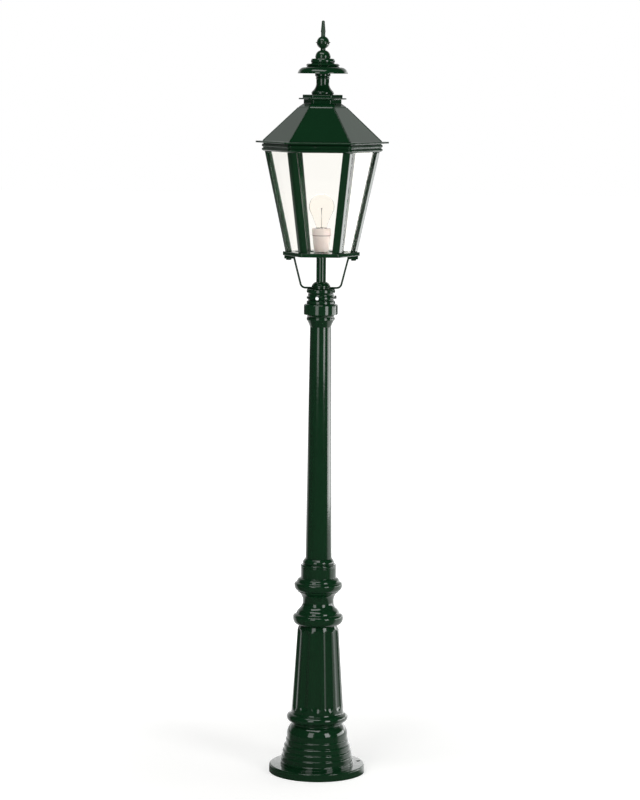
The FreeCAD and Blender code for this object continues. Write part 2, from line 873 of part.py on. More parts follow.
def hex_screw(name, across, head, radius, length):
    """Hexagon head above its seat at zero, shank below."""
    top = hex_bar(name + "_head", across, head)
    shank = cylinder(name + "_shank", radius, length, -length)
    return fuse(name, [top, shank])


def pan_screw(name, head_radius, head, radius, length):
    """Round flat head above its seat at zero, shank below."""
    top = cylinder(name + "_head", head_radius, head)
    shank = cylinder(name + "_shank", radius, length, -length)
    return fuse(name, [top, shank])


def sunk_screw(name, head_radius, head, radius, length):
    """Countersunk head flush with zero, shank below."""
    top = DOC.addObject("Part::Cone", name + "_head")
    bind(top, Radius1=radius, Radius2=head_radius, Height=head)
    place(top, up=-head)
    shank = cylinder(name + "_shank", radius, length - head, -length)
    return fuse(name, [top, shank])


UP = Vector(0, 0, 1)
ALONG = Vector(1, 0, 0)


def facing(x, y, z):
    return Rotation(UP, Vector(x, y, z))


NODES = []


def node(item):
    NODES.append(item)
    return item


# Base casting: foot plate and stepped bell, with a register for the column
base = Section()
base.to(S.plate_radius, ZERO)
base.to(S.plate_radius, z_plate - S.plate_edge)
base.arc(S.plate_edge, 1, S.plate_radius - S.plate_edge, z_plate)
base.to(S.step_radius_a, z_plate)
bell_steps = (
    (S.step_radius_a, z_step_a, S.step_radius_b),
    (S.step_radius_b, z_step_b, S.step_radius_c),
    (S.step_radius_c, z_step_c, S.step_radius_d),
    (S.step_radius_d, z_step_d, S.step_radius_e),
    (S.step_radius_e, z_step_e, S.bell_radius),
)
for wide, top, narrow in bell_steps:
    base.to(wide, top - S.step_edge)
    base.swell(S.step_swell, narrow, top)
base.to(S.bell_radius, z_bell)
base.swell(S.shoulder_swell, S.groove_radius, z_shoulder)
base.to(S.groove_radius, z_groove)
register_radius = S.groove_radius - S.register_step
base.to(register_radius, z_groove)
base.to(register_radius, z_groove + S.register_rise)
base.to(S.groove_radius - S.cast_wall, z_groove + S.register_rise)
base.to(S.groove_radius - S.cast_wall, z_shoulder)
base.to(S.bell_radius - S.cast_wall, z_bell)
base.to(S.step_radius_a - S.cast_wall, z_plate)
base.to(S.step_radius_a - S.cast_wall, ZERO)
base_casting = new_body("base_casting")
turn(base_casting, "base_casting", base)
bolt_circle_radius = level("bolt_circle_radius", (S.step_radius_a + S.plate_radius) * HALF)
bolt_place = polar(bolt_circle_radius, S.bolt_angle)
bolt_hole = drill(base_casting, "bolt_hole", [bolt_place], S.bolt_hole_radius, z_plate, S.plate_thick)
repeat(base_casting, "bolt_holes", bolt_hole, S.bolt_count)
node(base_casting)

# Fluted column: bead, apron and tapered wall, seated over the register
column_bore = S.column_top_radius - S.cast_wall
column = Section()
column.to(register_radius + S.fit_gap, z_groove)
column.to(S.bead_foot_radius, z_groove)
column.swell(S.bead_swell, S.bead_foot_radius, z_bead)
column.swell(-S.apron_hollow, S.column_low_radius, z_apron)
column.to(S.column_top_radius, z_column)
column.to(S.column_neck_radius, z_collar)
column.to(column_bore, z_collar)
column.to(column_bore, z_column)
column.to(S.column_low_radius - S.cast_wall, z_apron)
column.to(S.column_low_radius - S.cast_wall, z_groove + S.register_rise + S.end_gap)
column.to(register_radius + S.fit_gap, z_groove + S.register_rise + S.end_gap)
fluted_column = new_body("fluted_column")
turn(fluted_column, "fluted_column", column)

# One round-ended flute, cut along the taper and repeated
FLUTE_HALF = dim(HALF_TURN) / S.flute_count
z_flute_low = z_apron + S.flute_low_end
z_flute_top = z_column - S.flute_top_end
column_taper = (S.column_low_radius - S.column_top_radius) / S.column_rise


def column_radius(height):
    return S.column_low_radius - column_taper * (height - z_apron)


def flute_radius(alias, around):
    """Radius of the round cutter that leaves the land between two flutes."""
    width = around * 2 * sine(FLUTE_HALF) - S.flute_land
    return level(alias, (width * width / 4 + S.flute_depth * S.flute_depth) / (S.flute_depth * 2))


low_wall = level("flute_low_wall", column_radius(z_flute_low))
top_wall = level("flute_top_wall", column_radius(z_flute_top))
low_cutter = flute_radius("flute_low_radius", low_wall)
top_cutter = flute_radius("flute_top_radius", top_wall)
low_axis = level("flute_low_axis", low_wall + low_cutter - S.flute_depth)
top_axis = level("flute_top_axis", top_wall + top_cutter - S.flute_depth)
DOC.recompute()
flute = Section()
flute.to(low_axis, z_flute_low - low_cutter)
flute.arc(low_cutter, -1, low_axis - low_cutter, z_flute_low)
flute.to(top_axis - top_cutter, z_flute_top)
flute.arc(top_cutter, -1, top_axis, z_flute_top + top_cutter)
flute_sketch = sketch_on(fluted_column, "XZ_Plane", "flute_section")
outline(flute_sketch, flute)
flute_low_tip = Vector(low_axis.number, (z_flute_low - low_cutter).number, 0)
flute_top_tip = Vector(top_axis.number, (z_flute_top + top_cutter).number, 0)
flute_line = flute_sketch.addGeometry(Part.LineSegment(flute_low_tip, flute_top_tip), True)
flute_rules = Rules(flute_sketch)
flute_rules.pin(flute_line, 1, low_axis, z_flute_low - low_cutter)
flute_rules.pin(flute_line, 2, top_axis, z_flute_top + top_cutter)
flute_rules.write()
flute_cut = fluted_column.newObject("PartDesign::Groove", "flute")
flute_cut.Profile = flute_sketch
flute_cut.ReferenceAxis = (flute_sketch, ["Axis0"])
flute_cut.Angle = FULL_TURN
repeat(fluted_column, "flutes", flute_cut, S.flute_count)
node(fluted_column)

# Baluster collar: two rings, a neck and the drum that holds the shaft
register_outer = column_bore - S.fit_gap
register_inner = register_outer - S.collar_register_wall
collar = Section()
collar.to(register_inner, z_collar - S.collar_register)
collar.to(register_outer, z_collar - S.collar_register)
collar.to(register_outer, z_collar)
collar.to(S.lower_ring_foot_radius, z_collar)
collar.swell(S.ring_under_swell, S.lower_ring_rim_radius, z_lower_rim)
collar.swell(S.ring_rim_swell, S.lower_ring_brow_radius, z_lower_brow)
collar.swell(S.ring_edge_swell, S.lower_ring_edge_radius, z_lower_edge)
collar.swell(-S.ring_top_hollow, S.lower_ring_top_radius, z_lower_ring)
collar.swell(S.flare_swell, S.flare_radius, z_flare)
collar.swell(-S.neck_low_hollow, S.neck_radius, z_neck_low)
collar.to(S.neck_radius, z_neck_mid)
collar.swell(-S.neck_top_hollow, S.fillet_ring_radius, z_neck_top)
collar.to(S.fillet_ring_radius, z_fillet_ring)
collar.swell(S.upper_under_swell, S.upper_ring_rim_radius, z_upper_rim)
collar.swell(S.ring_rim_swell, S.upper_ring_brow_radius, z_upper_brow)
collar.swell(S.ring_edge_swell, S.upper_ring_edge_radius, z_upper_edge)
collar.swell(-S.ring_top_hollow, S.upper_ring_top_radius, z_upper_ring)
collar.swell(S.drum_foot_swell, S.drum_radius, z_drum)
collar.to(S.drum_radius, z_drum_top)
collar.to(S.drum_bead_radius, z_drum_top)
collar.swell(S.drum_bead_swell, S.drum_bead_radius, z_drum_bead)
collar.to(S.top_ring_radius, z_drum_bead)
collar.swell(S.top_ring_swell, S.top_ring_radius, z_top_ring)
collar.to(S.seat_radius, z_seat)
collar.to(S.spigot_radius + S.fit_gap, z_seat)
collar.to(S.spigot_radius + S.fit_gap, z_seat - S.spigot_length - S.end_gap)
collar.to(S.cable_bore_radius, z_seat - S.spigot_length - S.end_gap)
collar.to(S.cable_bore_radius, z_flare)
collar.to(register_inner, z_collar)
collar_casting = new_body("collar_casting")
turn(collar_casting, "collar_casting", collar)
z_grub = z_drum + S.drum_rise * HALF
grub_sketch = sketch_on(collar_casting, "XZ_Plane", "grub_hole_face")
circles(grub_sketch, [(ZERO, z_grub)], S.grub_radius + S.fit_gap)
pocket(collar_casting, "grub_hole", grub_sketch, S.drum_radius + S.grub_length)
node(collar_casting)

# Upper shaft: tapered tube with a spigot at each end
shaft = Section()
shaft.to(S.shaft_low_radius, z_seat)
shaft.to(S.shaft_top_radius, z_shaft)
shaft.to(S.top_spigot_radius, z_shaft)
shaft.to(S.top_spigot_radius, z_shaft + S.top_spigot_length)
shaft.to(S.shaft_top_radius - S.shaft_wall, z_shaft + S.top_spigot_length)
shaft.to(S.shaft_top_radius - S.shaft_wall, z_shaft)
shaft.to(S.spigot_radius - S.shaft_wall, z_seat)
shaft.to(S.spigot_radius - S.shaft_wall, z_seat - S.spigot_length)
shaft.to(S.spigot_radius, z_seat - S.spigot_length)
shaft.to(S.spigot_radius, z_seat)
node(turned("upper_shaft", shaft))
grub = cylinder("shaft_set_screw", S.grub_radius, S.grub_length)
place(grub, deep=S.spigot_radius, up=z_grub, rotation=facing(0, 1, 0))
node(grub)

# Capital: flared ring, wide band and the spigot for the lantern
capital = Section()
capital.to(S.top_spigot_radius + S.fit_gap, z_shaft)
capital.to(S.cone_foot_radius, z_shaft)
capital.swell(-S.cone_hollow, S.lip_radius, z_cone)
capital.to(S.lip_radius, z_lip)
capital.to(S.lip_groove_radius, z_lip)
capital.to(S.lip_groove_radius, z_lip_groove)
capital.swell(-S.band_flare_hollow, S.band_radius, z_band_foot)
capital.to(S.band_radius, z_band)
capital.swell(S.crown_swell, S.crown_radius, z_socket)
capital.to(S.post_spigot_radius, z_socket)
capital.to(S.post_spigot_radius, z_socket + S.post_spigot_rise)
capital.to(S.post_bore_radius, z_socket + S.post_spigot_rise)
capital.to(S.post_bore_radius, z_shaft + S.top_spigot_length + S.end_gap)
capital.to(S.top_spigot_radius + S.fit_gap, z_shaft + S.top_spigot_length + S.end_gap)
node(turned("capital", capital))

# Lantern socket: ribbed sleeve with a closed top
sleeve_bore = S.post_spigot_radius + S.fit_gap
stem_bore = S.stem_radius + S.fit_gap
socket = Section()
socket.to(sleeve_bore, z_socket)
socket.to(S.rib_radius, z_socket)
socket.to(S.rib_radius, z_rib_low)
socket.to(S.rib_groove_radius, z_rib_low + S.rib_edge * HALF)
socket.swell(-S.rib_groove_hollow, S.rib_groove_radius, z_rib_mid - S.rib_edge * HALF)
socket.to(S.rib_radius, z_rib_mid)
socket.to(S.rib_radius, z_rib_mid_top)
socket.to(S.rib_groove_radius, z_rib_mid_top + S.rib_edge * HALF)
socket.swell(-S.rib_groove_hollow, S.rib_groove_radius, z_rib_top - S.rib_edge * HALF)
socket.to(S.rib_radius, z_rib_top)
socket.to(S.rib_radius, z_eye - S.rib_edge)
socket.arc(S.rib_edge, 1, S.rib_radius - S.rib_edge, z_eye)
socket.to(stem_bore, z_eye)
socket.to(stem_bore, z_eye - S.socket_roof)
socket.to(sleeve_bore, z_eye - S.socket_roof)
lantern_socket = turned("lantern_socket", socket)
z_set_screw = z_rib_mid + S.rib_mid_rise * HALF
hole_sketch = sketch_on(lantern_socket, "XZ_Plane", "set_screw_hole_face")
circles(hole_sketch, [(ZERO, z_set_screw)], S.set_screw_radius + S.fit_gap)
hole = pocket(lantern_socket, "set_screw_hole", hole_sketch, S.rib_radius + S.rib_edge, forward=True)
repeat(lantern_socket, "set_screw_holes", hole, S.set_screw_count)
lantern_socket.Placement.Rotation = Rotation(UP, S.set_screw_angle.number)
lantern_socket.setExpression("Placement.Rotation.Angle", S.set_screw_angle.text)
node(lantern_socket)

# Hexagon set screws through the middle rib
set_screws = []
set_screw_seat = S.rib_radius + S.set_screw_stand
for index in range(int(S.set_screw_count.number)):
    turn_by = index * FULL_TURN / S.set_screw_count.number
    angle = S.set_screw_angle + (turn_by - QUARTER_TURN)
    screw = hex_screw(
        "set_screw_%d" % (index + 1), S.set_screw_across, S.set_screw_head,
        S.set_screw_radius, set_screw_seat - S.post_spigot_radius,
    )
    out = Vector(cosine(angle).number, sine(angle).number, 0)
    across, deep = polar(set_screw_seat, angle)
    set_screws.append(place(screw, across, deep, z_set_screw, Rotation(UP, out)))
node(group("socket_set_screws", set_screws))

# Stirrup: eye on the socket, two bent rods and a flat foot under each side corner
stirrup = new_body("stirrup")
eye = Section()
eye.to(stem_bore, z_eye)
eye.to(S.eye_radius, z_eye)
eye.to(S.eye_radius, z_dome)
eye.to(stem_bore, z_dome)
turn(stirrup, "eye", eye)
z_rod = z_eye + S.eye_thick * HALF
rod_start = S.eye_radius - S.rod_radius
bolt_reach = level("bolt_reach", S.post_low_reach - S.post_screw_inset)
foot_inner = level("foot_inner_reach", bolt_reach - S.foot_tail)
foot_outer = level("foot_outer_reach", bolt_reach + S.foot_end)
z_rod_head = z_rim - S.foot_thick * HALF
leg_run = level("leg_run", foot_inner + S.rod_head_inset - S.rod_knee_reach)
leg_climb = level("leg_climb", z_rod_head - z_rod)
leg_length = level("leg_length", root(leg_run * leg_run + leg_climb * leg_climb))
knee_leg = level("knee_leg", S.rod_knee_round * leg_climb / (leg_length + leg_run))
DOC.recompute()
rod_line = Section()
rod_line.to(rod_start, z_rod)
rod_line.to(S.rod_knee_reach - knee_leg, z_rod)
rod_line.arc(
    S.rod_knee_round, 1,
    S.rod_knee_reach + knee_leg * leg_run / leg_length, z_rod + knee_leg * leg_climb / leg_length,
)
rod_line.to(foot_inner + S.rod_head_inset, z_rod_head)
rod_path = sketch_on(stirrup, "XZ_Plane", "rod_path")
outline(rod_path, rod_line, closed=False)
rod_face = sketch_on(stirrup, "YZ_Plane", "rod_face", rod_start)
circles(rod_face, [(ZERO, z_rod)], S.rod_radius)
rod = stirrup.newObject("PartDesign::AdditivePipe", "rod")
rod.Profile = rod_face
rod.Spine = rod_path
foot = Section()
foot.to(foot_inner, -S.foot_width * HALF)
foot.to(foot_outer, -S.foot_width * HALF)
foot.to(foot_outer, S.foot_width * HALF)
foot.to(foot_inner, S.foot_width * HALF)
foot_pad = slab(stirrup, "foot", foot, z_rim - S.foot_thick, S.foot_thick)
bolt_bore = S.stirrup_bolt_radius + S.fit_gap
foot_hole = drill(stirrup, "foot_hole", [(bolt_reach, ZERO)], bolt_bore, z_rim, S.foot_thick)
mirror = stirrup.newObject("PartDesign::Mirrored", "second_arm")
mirror.Originals = [rod, foot_pad, foot_hole]
mirror.MirrorPlane = (datum(stirrup, "YZ_Plane"), [""])
stirrup.Tip = mirror
node(stirrup)

# Dome that clamps the eye, stem tube and its lock nuts
dome = Section()
dome.to(stem_bore, z_dome)
dome.to(S.dome_radius, z_dome)
dome.to(S.dome_radius, z_dome + S.dome_rim)
dome.swell(S.dome_swell, S.dome_top_radius, z_dome_top)
dome.to(stem_bore, z_dome_top)
node(turned("stem_dome_nut", dome))
z_stem = z_eye - S.socket_roof - S.stem_tail
stem = Section()
stem.to(S.stem_radius - S.stem_wall, z_stem)
stem.to(S.stem_radius, z_stem)
stem.to(S.stem_radius, z_entry - S.end_gap)
stem.to(S.stem_radius - S.stem_wall, z_entry - S.end_gap)
node(turned("stem_tube", stem))
lock_nuts = []
for number, top in enumerate((z_eye - S.socket_roof, z_rim + ZERO), start=1):
    bar = hex_bar("lock_nut_bar_%d" % number, S.lock_nut_across, S.lock_nut_thick, top - S.lock_nut_thick)
    bore = cylinder("lock_nut_bore_%d" % number, stem_bore, S.lock_nut_thick, top - S.lock_nut_thick)
    lock_nuts.append(cut("lock_nut_%d" % number, bar, bore))
node(group("stem_lock_nuts", lock_nuts))

# Floor frame: six-sided ring with a hanging rim, hub and four diagonal spokes
floor_frame = new_body("floor_frame")
slab(floor_frame, "floor_ring", hexagon(S.floor_reach, S.floor_facet), z_rim, S.floor_rim)
under = hexagon(S.floor_reach - S.floor_rim_wall, S.floor_facet)
well(floor_frame, "rim_hollow", under, z_floor - S.floor_plate, S.floor_rim - S.floor_plate)
well(floor_frame, "floor_window", hexagon(S.floor_inner_reach, S.floor_facet), z_floor, S.floor_rim)
hub = Section()
hub.to(stem_bore, z_rim)
hub.to(S.hub_radius, z_rim)
hub.to(S.hub_radius, z_floor)
hub.to(stem_bore, z_floor)
hub_turn = turn(floor_frame, "hub", hub)
ring_middle = (S.floor_reach + S.floor_inner_reach) * HALF
spoke_half = S.spoke_width * HALF
spoke_start = (S.hub_radius + stem_bore) * HALF
for corner in range(HEX_SIDES):
    if over_stirrup(corner):
        continue
    angle = corner * HEX_STEP
    spoke = Section()
    for out, aside in ((spoke_start, -spoke_half), (ring_middle, -spoke_half),
                       (ring_middle, spoke_half), (spoke_start, spoke_half)):
        across, up = turned_point(out, aside, angle)
        spoke.to(across, up)
    slab(floor_frame, "spoke_%d" % angle, spoke, z_floor - S.floor_plate, S.floor_plate)
boss_sketch = sketch_on(floor_frame, "XY_Plane", "screw_boss_plan", z_rim)
circles(boss_sketch, [(bolt_reach, ZERO)], S.boss_radius)
boss = pad(floor_frame, "screw_boss", boss_sketch, S.floor_rim)
repeat(floor_frame, "screw_bosses", boss, dim(HEX_SIDES))
corner_places = [polar(bolt_reach, corner * HEX_STEP) for corner in range(HEX_SIDES)]
side_corners = [spot for corner, spot in enumerate(corner_places) if over_stirrup(corner)]
end_corners = [spot for corner, spot in enumerate(corner_places) if not over_stirrup(corner)]
drill(floor_frame, "bolt_bores", side_corners, bolt_bore, z_floor, S.floor_rim)
drill(floor_frame, "screw_bores", end_corners, S.frame_screw_radius + S.fit_gap, z_floor, S.floor_rim)
drill(floor_frame, "screw_sinks", end_corners, S.frame_screw_head_radius + S.fit_gap,
      z_rim + S.frame_screw_head, S.frame_screw_head)
node(floor_frame)

# Bolts through the stirrup feet and sunk screws at the other four corners
bolt_length = S.foot_thick + S.floor_rim + S.frame_screw_bite
bolts = []
for number, (across, deep) in enumerate(side_corners, start=1):
    bolt = hex_screw("stirrup_bolt_%d" % number, S.stirrup_bolt_across, S.stirrup_bolt_head,
                     S.stirrup_bolt_radius, bolt_length)
    bolts.append(place(bolt, across, deep, z_rim - S.foot_thick, Rotation(ALONG, HALF_TURN)))
node(group("stirrup_bolts", bolts))


def frame_screw(name, length):
    return sunk_screw(name, S.frame_screw_head_radius, S.frame_screw_head, S.frame_screw_radius, length)


floor_screws = []
for number, (across, deep) in enumerate(end_corners, start=1):
    screw = frame_screw("floor_screw_%d" % number, S.floor_rim + S.frame_screw_bite)
    floor_screws.append(place(screw, across, deep, z_rim, Rotation(ALONG, HALF_TURN)))
node(group("floor_screws", floor_screws))

# Corner posts: leaning glazing bars with a faceted nose, two flanges and a web
post_lean = level("post_lean", (S.post_top_reach - S.post_low_reach) / S.post_rise)
top_bolt_reach = level("top_bolt_reach", S.post_top_reach - S.post_screw_inset)
flange_out = S.post_flange * sine(HEX_HALF)
flange_side = S.post_facet + S.post_flange * cosine(HEX_HALF)
back_out = flange_out + S.post_flange_thick * cosine(HEX_HALF)
back_side = flange_side - S.post_flange_thick * sine(HEX_HALF)
web_out = back_out - (back_side - S.post_web_half) * SLANT


def post_section(reach):
    half = (
        (ZERO, S.post_facet),
        (flange_out, flange_side),
        (back_out, back_side),
        (web_out, S.post_web_half),
        (S.post_depth, S.post_web_half),
    )
    section = Section()
    for inward, aside in half:
        section.to(reach - inward, aside)
    for inward, aside in reversed(half):
        section.to(reach - inward, -aside)
    return section


for corner in range(HEX_SIDES):
    label = "corner_post_%d" % (corner + 1)
    body = new_body(label)
    plan = sketch_on(body, "XY_Plane", label + "_plan", z_floor)
    outline(plan, post_section(S.post_low_reach))
    bar = pad(body, label + "_bar", plan, S.post_rise)
    bar.UseCustomVector = True
    bar.AlongSketchNormal = True
    bar.Direction = Vector(post_lean.number, 0, 1)
    bar.setExpression("Direction.x", post_lean.text)
    bore = bolt_bore if over_stirrup(corner) else S.frame_screw_radius + S.fit_gap
    depth = S.frame_screw_bite + S.end_gap
    drill(body, label + "_low_bore", [(bolt_reach, ZERO)], bore, z_floor + depth, depth)
    top_bore = S.frame_screw_radius + S.fit_gap
    drill(body, label + "_top_bore", [(top_bolt_reach, ZERO)], top_bore, z_cornice, depth)
    body.Placement.Rotation = Rotation(UP, corner * HEX_STEP)
    node(body)

# Glass panes behind the flanges, one for each side
glass_back = level("glass_back", S.post_flange_thick + S.glass_gap + S.glass_thick)
glass_inset = level("glass_inset", glass_back * SLANT + S.post_web_half / cosine(HEX_HALF) + S.glass_gap)


def pane_section(reach):
    sharp = reach + S.post_facet * SLANT
    flat = sharp * cosine(HEX_HALF)
    half = sharp * HALF - glass_inset
    section = Section()
    section.to(flat - glass_back, -half)
    section.to(flat - glass_back + S.glass_thick, -half)
    section.to(flat - glass_back + S.glass_thick, half)
    section.to(flat - glass_back, half)
    return section


for side in range(HEX_SIDES):
    label = "glass_pane_%d" % (side + 1)
    body = new_body(label)
    lower = sketch_on(body, "XY_Plane", label + "_low", z_floor + S.glass_gap)
    upper = sketch_on(body, "XY_Plane", label + "_high", z_cornice - S.glass_gap)
    outline(lower, pane_section(S.post_low_reach + post_lean * S.glass_gap))
    outline(upper, pane_section(S.post_top_reach - post_lean * S.glass_gap))
    sheet = body.newObject("PartDesign::AdditiveLoft", label + "_sheet")
    sheet.Profile = lower
    sheet.Sections = [upper]
    sheet.Ruled = True
    body.Placement.Rotation = Rotation(UP, side * HEX_STEP + HEX_HALF)
    node(body)

# Cornice: two bands with a groove between, open in the middle
cornice_frame = new_body("cornice_frame")
cornice_steps = (
    (S.cornice_foot_reach, z_cornice),
    (S.cornice_band_reach, z_band_low),
    (S.cornice_band_reach, z_band_mid),
    (S.cornice_groove_reach, z_groove_low),
    (S.cornice_groove_reach, z_groove_top),
    (S.cornice_band_reach, z_upper_low),
    (S.cornice_band_reach, z_upper_top),
    (S.cornice_top_reach, z_roof),
)
hex_loft(cornice_frame, "cornice_mould", cornice_steps, S.cornice_facet)
cornice_rise = z_roof - z_cornice
well(cornice_frame, "cornice_well", hexagon(S.cornice_inner_reach, S.cornice_facet), z_roof, cornice_rise)
top_places = [polar(top_bolt_reach, corner * HEX_STEP) for corner in range(HEX_SIDES)]
drill(cornice_frame, "cornice_bores", top_places, S.frame_screw_radius + S.fit_gap, z_roof, cornice_rise)
drill(cornice_frame, "cornice_sinks", top_places, S.frame_screw_head_radius + S.fit_gap,
      z_roof, S.frame_screw_head)
small_bore = S.small_screw_radius + S.fit_gap
z_leaf_screw = z_groove_low + S.cornice_groove_rise * HALF
leaf_face = sketch_on(cornice_frame, "XZ_Plane", "leaf_bore_face")
leaf_spots = [(S.leaf_screw_reach, z_leaf_screw), (-S.leaf_screw_reach, z_leaf_screw)]
circles(leaf_face, leaf_spots, small_bore)
pocket(cornice_frame, "leaf_bores", leaf_face, band_flat + S.leaf_thick)
z_closing = z_upper_low + S.cornice_upper_rise * HALF
closing_face = sketch_on(cornice_frame, "XZ_Plane", "closing_bore_face")
circles(closing_face, [(S.closing_offset, z_closing)], small_bore)
pocket(cornice_frame, "closing_bore", closing_face, band_flat + S.leaf_thick, forward=True)
node(cornice_frame)
cornice_screws = []
for number, (across, deep) in enumerate(top_places, start=1):
    screw = frame_screw("cornice_screw_%d" % number, cornice_rise + S.frame_screw_bite)
    cornice_screws.append(place(screw, across, deep, z_roof))
node(group("cornice_screws", cornice_screws))

# Roof shell: seat ring, brim, six hips, chimney and the closing tab
roof_shell = new_body("roof_shell")
slab(roof_shell, "seat_ring", hexagon(S.seat_ring_reach, S.brim_facet), z_roof, S.seat_ring_rise)
slab(roof_shell, "brim", hexagon(S.brim_reach, S.brim_facet), z_brim_low, S.brim_thick)
roof_steps = (
    (S.roof_foot_reach, z_brim),
    (S.roof_top_reach, z_roof_top),
    (S.ledge_reach, z_ledge),
    (S.chimney_reach, z_bevel),
    (S.chimney_reach, z_cap),
)
hex_loft(roof_shell, "roof", roof_steps, S.hip_facet)
roof_slope = (S.roof_foot_reach - S.roof_top_reach) / S.roof_rise
flue_reach = S.chimney_reach - S.chimney_wall
cove_rise = (S.roof_foot_reach - S.seat_ring_inner_reach - S.roof_wall) / roof_slope
hollow_steps = (
    (S.seat_ring_inner_reach, z_roof),
    (S.seat_ring_inner_reach, z_brim + cove_rise),
    (S.roof_top_reach - S.roof_wall, z_roof_top),
    (flue_reach, z_bevel - S.chimney_wall * HALF),
    (flue_reach, z_web),
)
hex_loft(roof_shell, "roof_hollow", hollow_steps, S.hip_facet, cut=True)
drill(roof_shell, "tie_bore", [(ZERO, ZERO)], S.rod_bore_radius, z_cap, S.web_thick)
tab_face = well_flat - S.roof_gap
seat_inner_flat = (S.seat_ring_inner_reach + S.hip_facet * SLANT) * cosine(HEX_HALF)
tab = Section()
tab.to(-tab_face, z_roof - S.tab_drop)
tab.to(-(tab_face - S.tab_thick), z_roof - S.tab_drop)
tab.to(-(tab_face - S.tab_thick), z_brim_low)
tab.to(-(seat_inner_flat + S.seat_ring_rise), z_brim_low)
tab.to(-(seat_inner_flat + S.seat_ring_rise), z_roof)
tab.to(-tab_face, z_roof)
tab_sketch = sketch_on(roof_shell, "YZ_Plane", "tab_face", S.closing_offset)
outline(tab_sketch, tab)
pad(roof_shell, "closing_tab", tab_sketch, S.tab_width, middle=True)
y_moving_screw = level("y_moving_screw", brim_flat - S.moving_leaf_depth * HALF)
moving_spots = [(S.moving_screw_reach, y_moving_screw), (-S.moving_screw_reach, y_moving_screw)]
drill(roof_shell, "hinge_bores", moving_spots, small_bore, z_brim, S.brim_thick)
node(roof_shell)

# Chimney cap: thin flange with a thicker plate on it
chimney_cap = new_body("chimney_cap")
slab(chimney_cap, "cap_flange", hexagon(S.cap_flange_reach, S.cap_facet), z_cap, S.cap_flange_thick)
slab(chimney_cap, "cap_plate", hexagon(S.cap_plate_reach, S.cap_facet), z_cap_plate, S.cap_plate_thick)
drill(chimney_cap, "cap_bore", [(ZERO, ZERO)], S.rod_bore_radius, z_neck, z_neck - z_cap)
node(chimney_cap)

# Neck: turned baluster between cap and hat
neck = Section()
neck.to(S.rod_bore_radius, z_neck)
neck.to(S.neck_foot_radius, z_neck)
neck.swell(S.neck_foot_swell, S.neck_foot_radius, z_neck_foot)
neck.swell(-S.neck_waist_hollow, S.neck_waist_radius, z_neck_waist)
neck.to(S.neck_waist_radius, z_neck_shaft)
neck.swell(S.neck_bead_swell, S.neck_waist_radius, z_neck_bead)
neck.to(S.neck_flange_radius, z_hat - S.neck_flange_rise * HALF)
neck.to(S.neck_flange_radius, z_hat)
neck.to(S.rod_bore_radius, z_hat)
node(turned("neck_baluster", neck))

# Hat: spun dish with two tiers and a small dome
hat = Section()
hat.to(S.hat_radius, z_hat + S.hat_rim)
hat.swell(S.hat_brow_swell, S.hat_brow_radius, z_brow)
hat.to(S.tier_low_radius, z_tier_low)
hat.to(S.tier_low_radius + S.tier_low_edge, z_tier_low + S.tier_low_rise * HALF)
hat.to(S.tier_low_radius, z_tier_low_top)
hat.to(S.tier_mid_radius, z_tier_mid)
hat.swell(S.tier_mid_swell, S.tier_mid_radius, z_tier_mid_top)
hat.to(S.hat_dome_radius, z_hat_dome)
hat.swell(S.hat_dome_swell, S.finial_foot_radius, z_finial)
hat.to(S.rod_bore_radius, z_finial)
hat.to(S.rod_bore_radius, z_hat)
hat.to(S.neck_flange_radius, z_hat)
hat.to(S.neck_flange_radius + S.hat_wall, z_brow - S.hat_wall)
hat.to(S.hat_brow_radius - S.hat_wall, z_brow - S.hat_wall)
hat.swell(-S.hat_brow_swell, S.hat_radius - S.hat_wall, z_hat + S.hat_rim)
node(turned("vent_hat", hat))

# Finial: ball with a thin ridge and a spike, drilled for the tie rod
ball_start = S.finial_foot_radius
finial = Section()
finial.to(S.rod_bore_radius, z_finial)
finial.to(S.finial_foot_radius, z_finial)
finial.to(ball_start, z_ball_low)
finial.arc(S.ball_radius, 1, S.ball_radius, z_ball_mid - S.ball_ridge_half)
finial.to(S.ball_radius + S.ball_ridge, z_ball_mid - S.ball_ridge_half)
finial.to(S.ball_radius + S.ball_ridge, z_ball_mid + S.ball_ridge_half)
finial.to(S.ball_radius, z_ball_mid + S.ball_ridge_half)
finial.arc(S.ball_radius, 1, S.spike_low_radius, z_ball_top)
finial.to(S.spike_low_radius, z_ball_top + S.spike_ring_foot)
finial.to(S.spike_ring_radius, z_ball_top + S.spike_ring_foot)
finial.to(S.spike_ring_radius, z_ball_top + S.spike_ring_foot + S.spike_ring_rise)
finial.to(S.spike_top_radius, z_tip)
finial.swell(S.spike_tip_swell, S.spike_tip_radius, z_spike_end)
finial.to(ZERO, z_spike_end)
finial.to(ZERO, z_finial + S.tie_rod_bite)
finial.to(S.rod_bore_radius, z_finial + S.tie_rod_bite)
node(turned("finial", finial))

# Tie rod from the finial down through the chimney, with its nut
z_tie = z_web - S.tie_nut_thick - S.tie_rod_tail
tie_length = z_finial + S.tie_rod_bite - S.end_gap - z_tie
tie_rod = cylinder("finial_rod", S.tie_rod_radius, tie_length, z_tie)
node(tie_rod)
z_nut = z_web - S.tie_nut_thick
nut_bar = hex_bar("finial_nut_bar", S.tie_nut_across, S.tie_nut_thick, z_nut)
nut_bore = cylinder("finial_nut_bore", S.tie_rod_radius + S.fit_gap, S.tie_nut_thick, z_nut)
node(cut("finial_nut", nut_bar, nut_bore))

